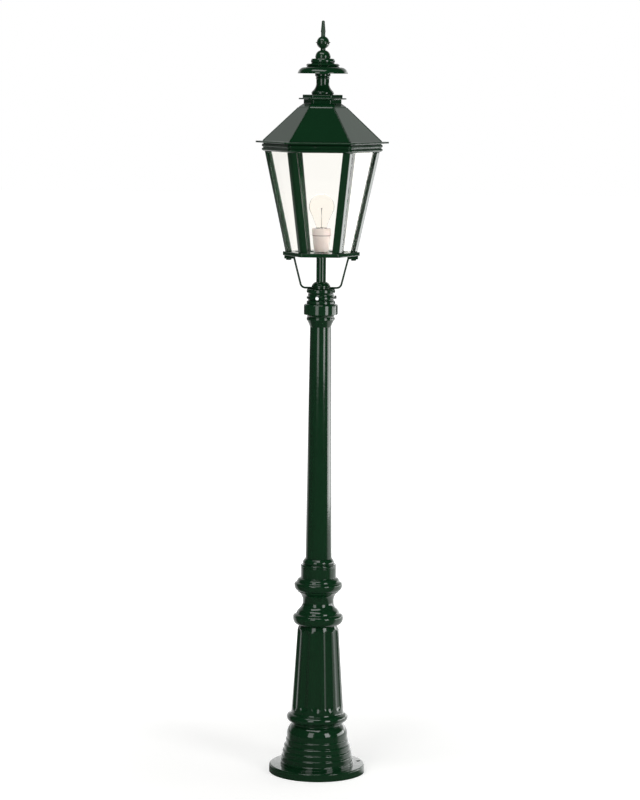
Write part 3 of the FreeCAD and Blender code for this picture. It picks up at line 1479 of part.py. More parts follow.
# Roof hinge behind the brim: fixed leaf, moving leaf, pin and screws
pin_bore = S.pin_radius + S.pin_gap
fixed_leaf = new_body("hinge_fixed_leaf")
z_arm = z_brim_low - S.roof_gap
leaf_plate = Section()
leaf_plate.to(band_flat, z_arm - S.leaf_drop)
leaf_plate.to(band_flat + S.leaf_thick, z_arm - S.leaf_drop)
leaf_plate.to(band_flat + S.leaf_thick, z_arm - S.leaf_arm_thick)
leaf_plate.to(y_hinge, z_arm - S.leaf_arm_thick)
leaf_plate.to(y_hinge, z_arm)
leaf_plate.to(band_flat, z_arm)
plate_sketch = sketch_on(fixed_leaf, "YZ_Plane", "leaf_side")
outline(plate_sketch, leaf_plate)
pad(fixed_leaf, "leaf_plate", plate_sketch, S.leaf_half_width * 2, middle=True)
knuckle_sketch = sketch_on(fixed_leaf, "YZ_Plane", "fixed_knuckle_end")
circles(knuckle_sketch, [(y_hinge, z_hinge)], S.knuckle_radius)
pad(fixed_leaf, "fixed_knuckles", knuckle_sketch, S.leaf_half_width * 2, middle=True)
gap_half = S.moving_half_width + S.knuckle_gap
gap_low = band_flat + S.leaf_thick + S.knuckle_gap
knuckle_room = Section()
knuckle_room.to(-gap_half, gap_low)
knuckle_room.to(gap_half, gap_low)
knuckle_room.to(gap_half, y_hinge + S.knuckle_radius * 2)
knuckle_room.to(-gap_half, y_hinge + S.knuckle_radius * 2)
well(fixed_leaf, "knuckle_room", knuckle_room, z_hinge + S.knuckle_radius * 2, S.knuckle_radius * 4)
fixed_bore = sketch_on(fixed_leaf, "YZ_Plane", "fixed_bore_end", -S.leaf_half_width)
circles(fixed_bore, [(y_hinge, z_hinge)], pin_bore)
pocket(fixed_leaf, "fixed_bore", fixed_bore, S.leaf_half_width * 2, forward=True)
leaf_holes = sketch_on(fixed_leaf, "XZ_Plane", "leaf_hole_face")
circles(leaf_holes, leaf_spots, small_bore)
pocket(fixed_leaf, "leaf_holes", leaf_holes, band_flat + S.leaf_thick)
node(fixed_leaf)

moving_leaf = new_body("hinge_moving_leaf")
moving_plate = Section()
moving_plate.to(-S.moving_plate_half, brim_flat - S.moving_leaf_depth)
moving_plate.to(S.moving_plate_half, brim_flat - S.moving_leaf_depth)
moving_plate.to(S.moving_plate_half, brim_flat - S.roof_gap)
moving_plate.to(S.moving_half_width, brim_flat - S.roof_gap)
moving_plate.to(S.moving_half_width, y_hinge)
moving_plate.to(-S.moving_half_width, y_hinge)
moving_plate.to(-S.moving_half_width, brim_flat - S.roof_gap)
moving_plate.to(-S.moving_plate_half, brim_flat - S.roof_gap)
slab(moving_leaf, "moving_plate", moving_plate, z_brim, S.moving_leaf_thick)
moving_knuckle = sketch_on(moving_leaf, "YZ_Plane", "moving_knuckle_end")
circles(moving_knuckle, [(y_hinge, z_hinge)], S.knuckle_radius)
pad(moving_leaf, "moving_knuckle", moving_knuckle, S.moving_half_width * 2, middle=True)
moving_bore = sketch_on(moving_leaf, "YZ_Plane", "moving_bore_end", -S.moving_half_width)
circles(moving_bore, [(y_hinge, z_hinge)], pin_bore)
pocket(moving_leaf, "moving_bore", moving_bore, S.moving_half_width * 2, forward=True)
drill(moving_leaf, "moving_holes", moving_spots, small_bore, z_brim + S.moving_leaf_thick,
      S.moving_leaf_thick)
node(moving_leaf)

pin_length = S.leaf_half_width * 2
pin_shank = cylinder("hinge_pin_shank", S.pin_radius, pin_length + S.pin_head, -pin_length)
pin_head = cylinder("hinge_pin_head", S.pin_head_radius, S.pin_head)
hinge_pin = fuse("hinge_pin", [pin_head, pin_shank])
node(place(hinge_pin, S.leaf_half_width, y_hinge, z_hinge, facing(1, 0, 0)))


def small_screw(name, length):
    return pan_screw(name, S.small_screw_head_radius, S.small_screw_head, S.small_screw_radius, length)


leaf_screws = []
for number, (across, up) in enumerate(leaf_spots, start=1):
    screw = small_screw("leaf_screw_%d" % number, S.leaf_thick + S.small_screw_bite)
    leaf_screws.append(place(screw, across, band_flat + S.leaf_thick, up, facing(0, 1, 0)))
node(group("hinge_cornice_screws", leaf_screws))
roof_screws = []
for number, (across, deep) in enumerate(moving_spots, start=1):
    screw = small_screw("moving_screw_%d" % number, S.moving_leaf_thick + S.brim_thick)
    roof_screws.append(place(screw, across, deep, z_brim + S.moving_leaf_thick))
node(group("hinge_roof_screws", roof_screws))
closing_length = band_flat - tab_face - S.closing_gap
closing_screw = small_screw("closing_screw", closing_length)
node(place(closing_screw, S.closing_offset, -band_flat, z_closing, facing(0, -1, 0)))

# Porcelain lampholder on the stem
holder = Section()
holder.to(stem_bore, z_floor)
holder.to(S.holder_foot_radius, z_floor)
holder.to(S.holder_waist_radius, z_holder_waist)
holder.swell(S.holder_body_swell, S.holder_body_radius, z_holder_body)
holder.to(S.holder_lip_radius, z_lip_low)
holder.to(S.holder_lip_radius, z_holder_lip)
holder.to(S.holder_cavity_radius, z_holder_lip)
holder.to(S.holder_cavity_radius, z_contact)
holder.to(S.holder_wire_radius, z_contact)
holder.to(S.holder_wire_radius, z_entry)
holder.to(stem_bore, z_entry)
node(turned("lampholder_body", holder))
ring = Section()
ring.to(S.holder_cavity_radius, z_holder_lip)
ring.to(S.holder_ring_radius, z_holder_lip)
ring.to(S.holder_ring_radius, z_holder_top - S.holder_ring_edge)
ring.arc(S.holder_ring_edge, 1, S.holder_ring_radius - S.holder_ring_edge, z_holder_top)
ring.to(S.holder_cavity_radius, z_holder_top)
node(turned("lampholder_ring", ring))
shell_outer = S.holder_cavity_radius - S.fit_gap
shell = Section()
shell.to(shell_outer - S.shell_thick, z_contact)
shell.to(shell_outer, z_contact)
shell.to(shell_outer, z_contact + S.shell_rise)
shell.to(shell_outer - S.shell_thick, z_contact + S.shell_rise)
node(turned("thread_shell", shell))
node(cylinder("centre_contact", S.contact_radius, S.contact_thick, z_contact))

# Bulb: screw cap, hollow clear envelope, glass mount and filament
screw_cap = Section()
screw_cap.to(ZERO, z_nub)
screw_cap.to(S.cap_nub_radius, z_nub)
screw_cap.to(S.cap_nub_radius + S.cap_nub_rise * HALF, z_cap_base)
screw_cap.to(S.cap_radius, z_cap_side)
screw_cap.to(S.cap_radius, z_cap_rim)
screw_cap.to(S.cap_radius - S.cap_wall, z_cap_rim)
screw_cap.to(S.cap_radius - S.cap_wall, z_cap_side + S.cap_wall)
screw_cap.to(ZERO, z_cap_side + S.cap_wall)
node(turned("bulb_cap", screw_cap))
throat = S.cap_radius - S.cap_wall - S.fit_gap
inner_bulb = S.bulb_radius - S.bulb_wall


def bulb_join(radius):
    return (radius * cosine(S.bulb_join_angle), z_bulb - radius * sine(S.bulb_join_angle))


bulb = Section()
bulb.to(throat - S.bulb_wall, z_bulb_foot)
bulb.to(throat, z_bulb_foot)
bulb.to(throat, z_cap_rim)
bulb.swell(-S.bulb_neck_hollow, bulb_join(S.bulb_radius)[0], bulb_join(S.bulb_radius)[1])
bulb.arc(S.bulb_radius, 1, ZERO, z_bulb + S.bulb_radius)
bulb.to(ZERO, z_bulb + inner_bulb)
bulb.arc(inner_bulb, -1, bulb_join(inner_bulb)[0], bulb_join(inner_bulb)[1])
bulb.swell(S.bulb_neck_hollow, throat - S.bulb_wall, z_cap_rim)
node(turned("bulb_glass", bulb))
mount_foot = throat - S.bulb_wall - S.fit_gap
mount = Section()
mount.to(ZERO, z_bulb_foot)
mount.to(mount_foot, z_bulb_foot)
mount.to(mount_foot, z_bulb_foot + S.mount_foot_thick)
mount.to(S.mount_radius, z_mount_taper)
mount.to(S.mount_radius, z_mount)
mount.to(ZERO, z_mount)
mount_stem = turned("mount_stem", mount)
wires = []
for number, side in enumerate((1, -1), start=1):
    wire = cylinder("mount_wire_%d" % number, S.wire_radius, S.wire_length)
    lean = Rotation(ALONG, side * S.wire_lean.number)
    place(wire, up=z_mount - S.wire_radius * 2, rotation=lean)
    wire.setExpression("Placement.Rotation.Angle", S.wire_lean.text)
    wires.append(wire)
node(fuse("bulb_mount", [mount_stem] + wires))
filament_reach = S.wire_length * sine(S.wire_lean)
z_wire_end = z_mount - S.wire_radius * 2 + S.wire_length * cosine(S.wire_lean)
filament = cylinder("filament", S.filament_radius, filament_reach * 2)
z_filament = z_wire_end + S.filament_radius + S.wire_radius
node(place(filament, deep=-filament_reach, up=z_filament, rotation=facing(0, 1, 0)))

# Internal lead up the hollow post to the lampholder
node(cylinder("lamp_lead", S.lead_radius, z_contact - S.lead_start, S.lead_start))

# Build, check and write one file for each piece
DOC.recompute()
faults = [item.Label for item in DOC.Objects if "Invalid" in item.State or "Error" in item.State]
for item in NODES:
    if item.Shape.isNull() or not item.Shape.isValid():
        faults.append(item.Label)
if faults:
    raise RuntimeError("pieces that did not build: " + ", ".join(faults))
os.makedirs("parts", exist_ok=True)
for item in NODES:
    item.Shape.exportStep("parts/%s.step" % item.Label)
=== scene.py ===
import json
import math
import bmesh
import bpy
from mathutils import Matrix, Vector


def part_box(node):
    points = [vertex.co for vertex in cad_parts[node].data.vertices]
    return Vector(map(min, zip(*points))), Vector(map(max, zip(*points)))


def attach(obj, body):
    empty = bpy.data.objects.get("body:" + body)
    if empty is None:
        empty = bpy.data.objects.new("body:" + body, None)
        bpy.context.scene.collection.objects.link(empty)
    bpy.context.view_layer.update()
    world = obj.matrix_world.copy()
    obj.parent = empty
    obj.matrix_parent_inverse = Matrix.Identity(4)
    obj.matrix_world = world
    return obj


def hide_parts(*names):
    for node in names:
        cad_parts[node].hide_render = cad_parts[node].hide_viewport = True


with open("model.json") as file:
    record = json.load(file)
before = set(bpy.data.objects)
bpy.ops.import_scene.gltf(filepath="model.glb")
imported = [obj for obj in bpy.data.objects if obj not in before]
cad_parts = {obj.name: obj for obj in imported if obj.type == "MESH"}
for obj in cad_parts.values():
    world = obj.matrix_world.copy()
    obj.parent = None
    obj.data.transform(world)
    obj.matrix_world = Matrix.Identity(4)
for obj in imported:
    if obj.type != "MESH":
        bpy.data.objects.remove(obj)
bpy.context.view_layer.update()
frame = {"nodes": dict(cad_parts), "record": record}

NODES = frame["nodes"]
SCENE = bpy.context.scene
MM = 0.001
UP = Vector((0, 0, 1))
DOWN = -UP
BACK = Vector((0, 1, 0))
FRONT = -BACK
BLACK = (0.0, 0.0, 0.0, 1.0)
WHITE = (1.0, 1.0, 1.0, 1.0)


def srgb(code):
    """A hex colour as linear red, green, blue and alpha."""
    channels = [int(code[i:i + 2], 16) / 255 for i in (1, 3, 5)]
    linear = [c / 12.92 if c <= 0.04045 else ((c + 0.055) / 1.055) ** 2.4 for c in channels]
    return (*linear, 1.0)


def add(tree, kind, inputs=None, **settings):
    """Add a node: settings are its properties, inputs are values, sockets that feed it or lists of these."""
    node = tree.nodes.new(kind)
    for name, value in settings.items():
        setattr(node, name, value)
    for key, value in (inputs or {}).items():
        feeds = value if isinstance(value, list) else [value]
        for feed in feeds:
            if isinstance(feed, bpy.types.NodeSocket):
                tree.links.new(feed, node.inputs[key])
            else:
                node.inputs[key].default_value = feed
    return node


def maths(tree, operation, *values):
    """The result of a sum."""
    return add(tree, "ShaderNodeMath", dict(enumerate(values)), operation=operation).outputs["Value"]


def ramp(tree, value, span, levels, curve="LINEAR"):
    """A value carried from a span of numbers to a pair of levels, and held at its ends."""
    return add(tree, "ShaderNodeMapRange", {
        "Value": value, "From Min": span[0], "From Max": span[1], "To Min": levels[0], "To Max": levels[1]},
        interpolation_type=curve).outputs["Result"]


def blend(tree, share, first, second):
    """A mix of two colours."""
    return add(tree, "ShaderNodeMix", {"Factor": share, "A": first, "B": second},
               data_type="RGBA").outputs["Result"]


def noise(tree, place, size_mm, detail, coarse=0.5):
    """Noise with features of about this size."""
    return add(tree, "ShaderNodeTexNoise", {
        "Vector": place, "Scale": 1.0 / (size_mm * MM), "Detail": detail, "Roughness": coarse}).outputs["Fac"]


def bump(tree, height, depth_mm, strength, **normal):
    """The normal of a surface with small bumps."""
    return add(tree, "ShaderNodeBump", {
        "Height": height, "Distance": depth_mm * MM, "Strength": strength, **normal}).outputs["Normal"]


def finish_named(name):
    """An empty node material, its tree and the place of the shaded point."""
    material = bpy.data.materials.new(name)
    material.use_nodes = True
    tree = material.node_tree
    tree.nodes.clear()
    return material, tree, add(tree, "ShaderNodeTexCoord").outputs["Object"]


def cover(tree, shader):
    """End a material in this shader."""
    add(tree, "ShaderNodeOutputMaterial", {"Surface": shader})


NOISE_SPAN = (0.3, 0.7)
CLOUD_MM = 70
EDGE_SAMPLES = 6
COATING_IOR = 1.5
RUBBER_IOR = 1.52


# Fir-green gloss enamel, sprayed and baked.
# The eye sees a nearly black green with sharp lamp streaks, softened by the skin of the metal under it.
def gloss_enamel(name, edge_mm, peel_mm, peel_depth_mm, pit_mm, pit_depth_mm, roughness):
    material, tree, place = finish_named(name)
    cloud = noise(tree, place, CLOUD_MM, detail=3.0, coarse=0.6)
    peel = noise(tree, place, peel_mm, detail=2.0)
    pits = noise(tree, place, pit_mm, detail=4.0, coarse=0.65)
    edge = add(tree, "ShaderNodeBevel", {"Radius": edge_mm * MM}, samples=EDGE_SAMPLES)
    waves = bump(tree, peel, peel_depth_mm, strength=1.0, Normal=edge.outputs["Normal"])
    paint = add(tree, "ShaderNodeBsdfPrincipled", {
        "Base Color": blend(tree, cloud, srgb("#0B2D17"), srgb("#0F351D")),
        "Roughness": ramp(tree, pits, NOISE_SPAN, (roughness * 0.8, roughness * 1.3)),
        "IOR": COATING_IOR,
        "Normal": bump(tree, pits, pit_depth_mm, strength=1.0, Normal=waves)})
    cover(tree, paint.outputs["BSDF"])
    return material


DUST_SPAN = (0.45, 0.8)
DUST_HAZE = 0.05


# Clear glass, drawn flat for the panes and blown for the bulb, with a trace of warm dust.
# The bend is below that of real glass, so that the dim front of the studio draws no dark outlines in it.
def clear_glass(name, tint, dust_mm, bend):
    material, tree, place = finish_named(name)
    dust_and_joint_shade = noise(tree, place, dust_mm, detail=5.0, coarse=0.7)
    glass = add(tree, "ShaderNodeBsdfPrincipled", {
        "Base Color": srgb(tint), "Roughness": ramp(tree, dust_and_joint_shade, DUST_SPAN, (0.0, DUST_HAZE)), "IOR": bend,
        "Transmission Weight": 1.0})
    shine = add(tree, "ShaderNodeBsdfTransparent", {"Color": srgb(tint)})
    ray = add(tree, "ShaderNodeLightPath")
    mix = add(tree, "ShaderNodeMixShader", {
        0: ray.outputs["Is Shadow Ray"], 1: glass.outputs["BSDF"], 2: shine.outputs["BSDF"]})
    cover(tree, mix.outputs["Shader"])
    return material


POOL_MM = 12
RIPPLE_MM = 0.15
JOINT_SPAN = (0.6 * MM, 1.6 * MM)


# Glazed porcelain: pressed white clay under clear glaze, faintly pink, with soft pooling of the glaze.
# The joint between the ring and the body of the lampholder is painted darker: painted shade of the step under
# the ring.
def glazed_porcelain(joint_z):
    material, tree, place = finish_named("glazed_porcelain")
    pool = noise(tree, place, POOL_MM, detail=3.0)
    colour = blend(tree, pool, srgb("#CDBFBA"), srgb("#DBD0CC"))
    height = add(tree, "ShaderNodeSeparateXYZ", {"Vector": place}).outputs["Z"]
    off = maths(tree, "ABSOLUTE", maths(tree, "SUBTRACT", height, joint_z))
    # Painted shade: the colour darkens to a brownish grey within about a millimetre of the joint under the
    # ring.
    dust_and_joint_shade = ramp(tree, off, JOINT_SPAN, (0.8, 0.0))
    glaze = add(tree, "ShaderNodeBsdfPrincipled", {
        "Base Color": blend(tree, dust_and_joint_shade, colour, srgb("#6E5C55")), "Roughness": 0.12, "IOR": COATING_IOR,
        "Normal": bump(tree, pool, RIPPLE_MM, strength=0.6), "Subsurface Weight": 0.08,
        "Subsurface Scale": 2 * MM})
    cover(tree, glaze.outputs["BSDF"])
    return material


# Drawn, pressed or plated metal: fine tool marks catch the light in short streaks.
def bright_metal(name, light, dark, mark_mm, roughness):
    material, tree, place = finish_named(name)
    marks = noise(tree, place, mark_mm, detail=4.0)
    metal = add(tree, "ShaderNodeBsdfPrincipled", {
        "Base Color": blend(tree, marks, srgb(dark), srgb(light)), "Metallic": 1.0,
        "Roughness": ramp(tree, marks, NOISE_SPAN, (roughness * 0.7, roughness * 1.4))})
    cover(tree, metal.outputs["BSDF"])
    return material


BLOOM_MM = 9


# Rubber cable sheath: extruded, dull, with a faint chalky bloom.
def cable_sheath():
    material, tree, place = finish_named("extruded_rubber_sheath")
    bloom = noise(tree, place, BLOOM_MM, detail=4.0)
    rubber = add(tree, "ShaderNodeBsdfPrincipled", {
        "Base Color": blend(tree, bloom, srgb("#141414"), srgb("#2A2A28")), "Roughness": 0.6,
        "IOR": RUBBER_IOR})
    cover(tree, rubber.outputs["BSDF"])
    return material


CAST_ENAMEL = gloss_enamel("enamel_on_sand_casting", edge_mm=2.2, peel_mm=9.0, peel_depth_mm=0.05,
                           pit_mm=1.6, pit_depth_mm=0.008, roughness=0.08)
TUBE_ENAMEL = gloss_enamel("enamel_on_cast_tube", edge_mm=0.8, peel_mm=5.0, peel_depth_mm=0.05,
                           pit_mm=1.3, pit_depth_mm=0.012, roughness=0.09)
SHEET_ENAMEL = gloss_enamel("enamel_on_folded_sheet", edge_mm=3.2, peel_mm=14.0, peel_depth_mm=0.03,
                            pit_mm=2.0, pit_depth_mm=0.004, roughness=0.06)
TURNED_ENAMEL = gloss_enamel("enamel_on_turned_metal", edge_mm=0.6, peel_mm=12.0, peel_depth_mm=0.02,
                             pit_mm=2.0, pit_depth_mm=0.002, roughness=0.07)
PANE_GLASS = clear_glass("float_glass_panes", "#FFFEFB", dust_mm=6.0, bend=1.2)
BULB_GLASS = clear_glass("blown_bulb_glass", "#FFFDFA", dust_mm=10.0, bend=1.025)
PORCELAIN = glazed_porcelain(joint_z=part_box("lampholder_ring")[0][2])
ZINC = bright_metal("zinc_plated_steel", "#D8DADA", "#A9ACAD", mark_mm=0.8, roughness=0.24)
BRASS = bright_metal("pressed_brass", "#D9B45C", "#B58B3A", mark_mm=1.0, roughness=0.22)
CAP_METAL = bright_metal("drawn_aluminium_cap", "#DEDEDC", "#BDBDBA", mark_mm=0.7, roughness=0.22)
TUNGSTEN = bright_metal("drawn_tungsten_wire", "#6E6E70", "#4C4C4E", mark_mm=0.5, roughness=0.35)
SHEATH = cable_sheath()

FINISH_OF_SLOT = {
    "green_paint": SHEET_ENAMEL,
    "zinc_steel": ZINC,
    "pane_glass": PANE_GLASS,
    "porcelain": PORCELAIN,
    "contact_brass": BRASS,
    "bulb_cap_metal": CAP_METAL,
    "bulb_glass": BULB_GLASS,
    "filament_wire": TUNGSTEN,
    "cable_sheath": SHEATH,
}
FINISH_OF_NODE = {
    "base_casting": CAST_ENAMEL,
    "fluted_column": CAST_ENAMEL,
    "collar_casting": CAST_ENAMEL,
    "capital": CAST_ENAMEL,
    "lantern_socket": CAST_ENAMEL,
    "neck_baluster": TURNED_ENAMEL,
    "vent_hat": TURNED_ENAMEL,
    "finial": TURNED_ENAMEL,
    "stem_dome_nut": TURNED_ENAMEL,
    "stem_tube": TURNED_ENAMEL,
    "upper_shaft": TUBE_ENAMEL,
}


def dress(node, material):
    """Give a CAD node its finish."""
    mesh = NODES[node].data
    if not mesh.materials:
        mesh.materials.append(material)
    for index in range(len(mesh.materials)):
        mesh.materials[index] = material


for part in frame["record"]["subparts"]:
    node = part["node"]
    dress(node, FINISH_OF_NODE.get(node, FINISH_OF_SLOT[part["material_slot"]]))

# Screws, bolts and nuts: one for each solid of a CAD node, turned to a chance angle as a fitter leaves them
HEXAGON = 6
ROUND_HEAD = 32
TURNED_SIDES = 48
SHANK_SIDES = 32
CHAMFER_SLOPE = 1.73
SAW_HEAD_RADII = 3.0
TWIST_SEED = 7
# Points closer than these are merged: the slivers that booleans leave, and the seams of a CAD mesh
SLIVER_MM = 0.02
WELD_MM = 0.01


def combine(tree, operation, meshes):
    """A boolean of meshes. The exact solver gives the same mesh in every run."""
    return add(tree, "GeometryNodeMeshBoolean", meshes, operation=operation, solver="EXACT").outputs["Mesh"]


def fastener_tree(name, sides, slotted=False, bored=False):
    """A head that hangs below zero, with its shank or bore, set on every point along the point's axis."""
    tree = bpy.data.node_groups.new(name, "GeometryNodeTree")
    face = tree.interface
    face.new_socket("Seats", in_out="INPUT", socket_type="NodeSocketGeometry")
    for label in ("Head Radius", "Seat Radius", "Crown Radius", "Head Rise", "Shank Radius", "Shank Length",
                  "Slot Width", "Slot Depth"):
        face.new_socket(label, in_out="INPUT", socket_type="NodeSocketFloat")
    face.new_socket("Finish", in_out="INPUT", socket_type="NodeSocketMaterial")
    face.new_socket("Fasteners", in_out="OUTPUT", socket_type="NodeSocketGeometry")
    given = add(tree, "NodeGroupInput").outputs
    rise = given["Head Rise"]
    drop = maths(tree, "MULTIPLY", rise, -1.0)
    blank = add(tree, "GeometryNodeMeshCone", {
        "Vertices": sides, "Radius Top": given["Head Radius"], "Radius Bottom": given["Seat Radius"],
        "Depth": rise})
    wide = maths(tree, "MULTIPLY_ADD", rise, CHAMFER_SLOPE, given["Crown Radius"])
    turned = add(tree, "GeometryNodeMeshCone", {
        "Vertices": TURNED_SIDES, "Radius Top": given["Crown Radius"], "Radius Bottom": wide, "Depth": rise})
    head = combine(tree, "INTERSECT", {"Mesh 2": [blank.outputs["Mesh"], turned.outputs["Mesh"]]})
    down = add(tree, "ShaderNodeCombineXYZ", {"Z": drop}).outputs["Vector"]
    hung = add(tree, "GeometryNodeTransform", {"Geometry": head, "Translation": down})
    body = hung.outputs["Geometry"]
    if slotted:
        size = add(tree, "ShaderNodeCombineXYZ", {
            "X": maths(tree, "MULTIPLY", given["Head Radius"], SAW_HEAD_RADII), "Y": given["Slot Width"],
            "Z": maths(tree, "MULTIPLY", given["Slot Depth"], 2.0)})
        saw = add(tree, "GeometryNodeMeshCube", {"Size": size.outputs["Vector"]})
        body = combine(tree, "DIFFERENCE", {"Mesh 1": body, "Mesh 2": saw.outputs["Mesh"]})
    if bored:
        drill = add(tree, "GeometryNodeMeshCylinder", {
            "Vertices": TURNED_SIDES, "Radius": given["Shank Radius"], "Depth": given["Shank Length"]})
        body = combine(tree, "DIFFERENCE", {"Mesh 1": body, "Mesh 2": drill.outputs["Mesh"]})
    else:
        length = maths(tree, "MULTIPLY_ADD", rise, 0.5, given["Shank Length"])
        shank = add(tree, "GeometryNodeMeshCylinder", {
            "Vertices": SHANK_SIDES, "Radius": given["Shank Radius"], "Depth": length})
        below = maths(tree, "MULTIPLY_ADD", length, -0.5, maths(tree, "MULTIPLY", drop, 0.5))
        under = add(tree, "ShaderNodeCombineXYZ", {"Z": below}).outputs["Vector"]
        fitted = add(tree, "GeometryNodeTransform", {"Geometry": shank.outputs["Mesh"], "Translation": under})
        body = combine(tree, "UNION", {"Mesh 2": [body, fitted.outputs["Geometry"]]})
    clean = add(tree, "GeometryNodeMergeByDistance", {"Geometry": body, "Distance": SLIVER_MM * MM})
    axis = add(tree, "GeometryNodeInputNamedAttribute", {"Name": "axis"}, data_type="FLOAT_VECTOR")
    upright = add(tree, "FunctionNodeAlignRotationToVector", {"Vector": axis.outputs["Attribute"]}, axis="Z")
    chance = add(tree, "FunctionNodeRandomValue", {"Min": 0.0, "Max": math.tau, "Seed": TWIST_SEED},
                 data_type="FLOAT")
    twist = add(tree, "ShaderNodeCombineXYZ", {"Z": chance.outputs["Value"]})
    left = add(tree, "FunctionNodeRotateRotation", {
        "Rotation": upright.outputs["Rotation"], "Rotate By": twist.outputs["Vector"]}, rotation_space="LOCAL")
    spread = add(tree, "GeometryNodeInstanceOnPoints", {
        "Points": given["Seats"], "Instance": clean.outputs["Geometry"], "Rotation": left.outputs["Rotation"]})
    solid = add(tree, "GeometryNodeRealizeInstances", {"Geometry": spread.outputs["Instances"]})
    painted = add(tree, "GeometryNodeSetMaterial", {
        "Geometry": solid.outputs["Geometry"], "Material": given["Finish"]})
    add(tree, "NodeGroupOutput", {"Fasteners": painted.outputs["Geometry"]})
    return tree


def separate_solids(node):
    """The welded points of each solid in a CAD node."""
    work = bmesh.new()
    work.from_mesh(NODES[node].data)
    bmesh.ops.remove_doubles(work, verts=work.verts, dist=WELD_MM * MM)
    seen = set()
    solids = []
    for start in work.verts:
        if start in seen:
            continue
        seen.add(start)
        queue = [start]
        for vert in queue:
            for edge in vert.link_edges:
                other = edge.other_vert(vert)
                if other not in seen:
                    seen.add(other)
                    queue.append(other)
        solids.append([vert.co.copy() for vert in queue])
    work.free()
    return solids


def made_by(tree, name, mesh, sizes):
    """The plain mesh that a node tree gives for these sizes."""
    carrier = bpy.data.objects.new(name, mesh)
    SCENE.collection.objects.link(carrier)
    modifier = carrier.modifiers.new(name, "NODES")
    modifier.node_group = tree
    for socket in tree.interface.items_tree:
        if socket.in_out == "INPUT" and socket.name in sizes:
            modifier[socket.identifier] = sizes[socket.name]
    graph = bpy.context.evaluated_depsgraph_get()
    shape = bpy.data.meshes.new_from_object(carrier.evaluated_get(graph))
    bpy.data.objects.remove(carrier)
    shape.name = name
    piece = bpy.data.objects.new(name, shape)
    SCENE.collection.objects.link(piece)
    return piece


def fit(piece, body, slot, *nodes):
    """Let a finished piece ride on a body, in place of CAD nodes where some are named."""
    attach(piece, body)
    if nodes:
        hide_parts(*nodes)


def fasten(node, body, slot, tree, axis=None, **sizes):
    """Put detailed fasteners in the place of a CAD node's plain ones, top of the head to top of the head.

    The heads look along the axis, or straight out from the post where none is given.
    """
    seats = bpy.data.meshes.new(node + "_seats")
    spots = []
    ways = []
    for points in separate_solids(node):
        middle = sum(points, Vector()) / len(points)
        way = Vector((middle.x, middle.y, 0)).normalized() if axis is None else axis
        top = max(point.dot(way) for point in points)
        spots.append(middle + way * (top - middle.dot(way)))
        ways.append(way)
    seats.from_pydata(spots, [], [])
    stored = seats.attributes.new("axis", "FLOAT_VECTOR", "POINT")
    for index, way in enumerate(ways):
        stored.data[index].vector = way
    inputs = {label.replace("_", " ").title(): value * MM for label, value in sizes.items()}
    inputs["Finish"] = FINISH_OF_SLOT[slot]
    fit(made_by(tree, node + "_detail", seats, inputs), body, slot, node)


# Heads in millimetres: hexagons by half their width across flats, small cheese heads and sunk heads with slots
CORNER = 2 / math.sqrt(3)


def hexagon(half_flats, crown_radius, head_rise):
    """The sizes of a hexagon head whose corners are turned off round the crown."""
    return {"head_radius": half_flats * CORNER, "seat_radius": half_flats * CORNER,
            "crown_radius": crown_radius, "head_rise": head_rise}


CHEESE_HEAD = {"head_radius": 3.4, "seat_radius": 3.4, "crown_radius": 2.6, "head_rise": 2.2,
               "shank_radius": 2.0, "slot_width": 0.9, "slot_depth": 1.0}
SUNK_HEAD = {"head_radius": 4.8, "seat_radius": 2.5, "crown_radius": 4.7, "head_rise": 2.4,
             "shank_radius": 2.5, "slot_width": 1.2, "slot_depth": 1.1}
HEX_SCREW = fastener_tree("hexagon_screw", HEXAGON)
HEX_NUT = fastener_tree("hexagon_nut", HEXAGON, bored=True)
SLOT_SCREW = fastener_tree("slotted_screw", ROUND_HEAD, slotted=True)
closing_low, closing_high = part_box("closing_screw")
CLOSING_LENGTH = (closing_high[1] - closing_low[1]) / MM - CHEESE_HEAD["head_rise"]

fasten("socket_set_screws", "post", "zinc_steel", HEX_SCREW,
       shank_radius=2.5, shank_length=7.5, **hexagon(half_flats=4.0, crown_radius=3.8, head_rise=3.5))
fasten("stirrup_bolts", "post", "green_paint", HEX_SCREW, DOWN,
       shank_radius=3.0, shank_length=28.5, **hexagon(half_flats=6.0, crown_radius=5.7, head_rise=3.6))
fasten("closing_screw", "post", "green_paint", SLOT_SCREW, FRONT, shank_length=CLOSING_LENGTH, **CHEESE_HEAD)
fasten("stem_lock_nuts", "post", "zinc_steel", HEX_NUT, UP,
       shank_radius=11.45, shank_length=12.0, **hexagon(half_flats=13.5, crown_radius=13.3, head_rise=5.0))
fasten("finial_nut", "roof", "zinc_steel", HEX_NUT, DOWN,
       shank_radius=3.1, shank_length=12.0, **hexagon(half_flats=5.0, crown_radius=4.8, head_rise=5.0))
fasten("floor_screws", "post", "zinc_steel", SLOT_SCREW, DOWN, shank_length=18.5, **SUNK_HEAD)
fasten("cornice_screws", "post", "zinc_steel", SLOT_SCREW, UP, shank_length=27.0, **SUNK_HEAD)
fasten("hinge_cornice_screws", "post", "zinc_steel", SLOT_SCREW, BACK, shank_length=11.0, **CHEESE_HEAD)
fasten("hinge_roof_screws", "roof", "zinc_steel", SLOT_SCREW, UP, shank_length=6.6, **CHEESE_HEAD)


# Inside the bulb: a glass foot pinched flat on top, two lead wires and the coiled filament
WIRE_SIDES = 12
WIRE_RADIUS = 0.4 * MM
COIL_RADIUS = 0.9 * MM
COIL_WIRE = 0.3 * MM
COIL_TURNS = 22
TURN_POINTS = 16
RING_POINTS = 40
# Flare of the glass foot: share of its radius, and rise in millimetres
FOOT_FLARE = ((1.0, 0.0), (1.0, 1.5), (0.72, 2.6), (0.46, 4.6), (0.29, 7.4))
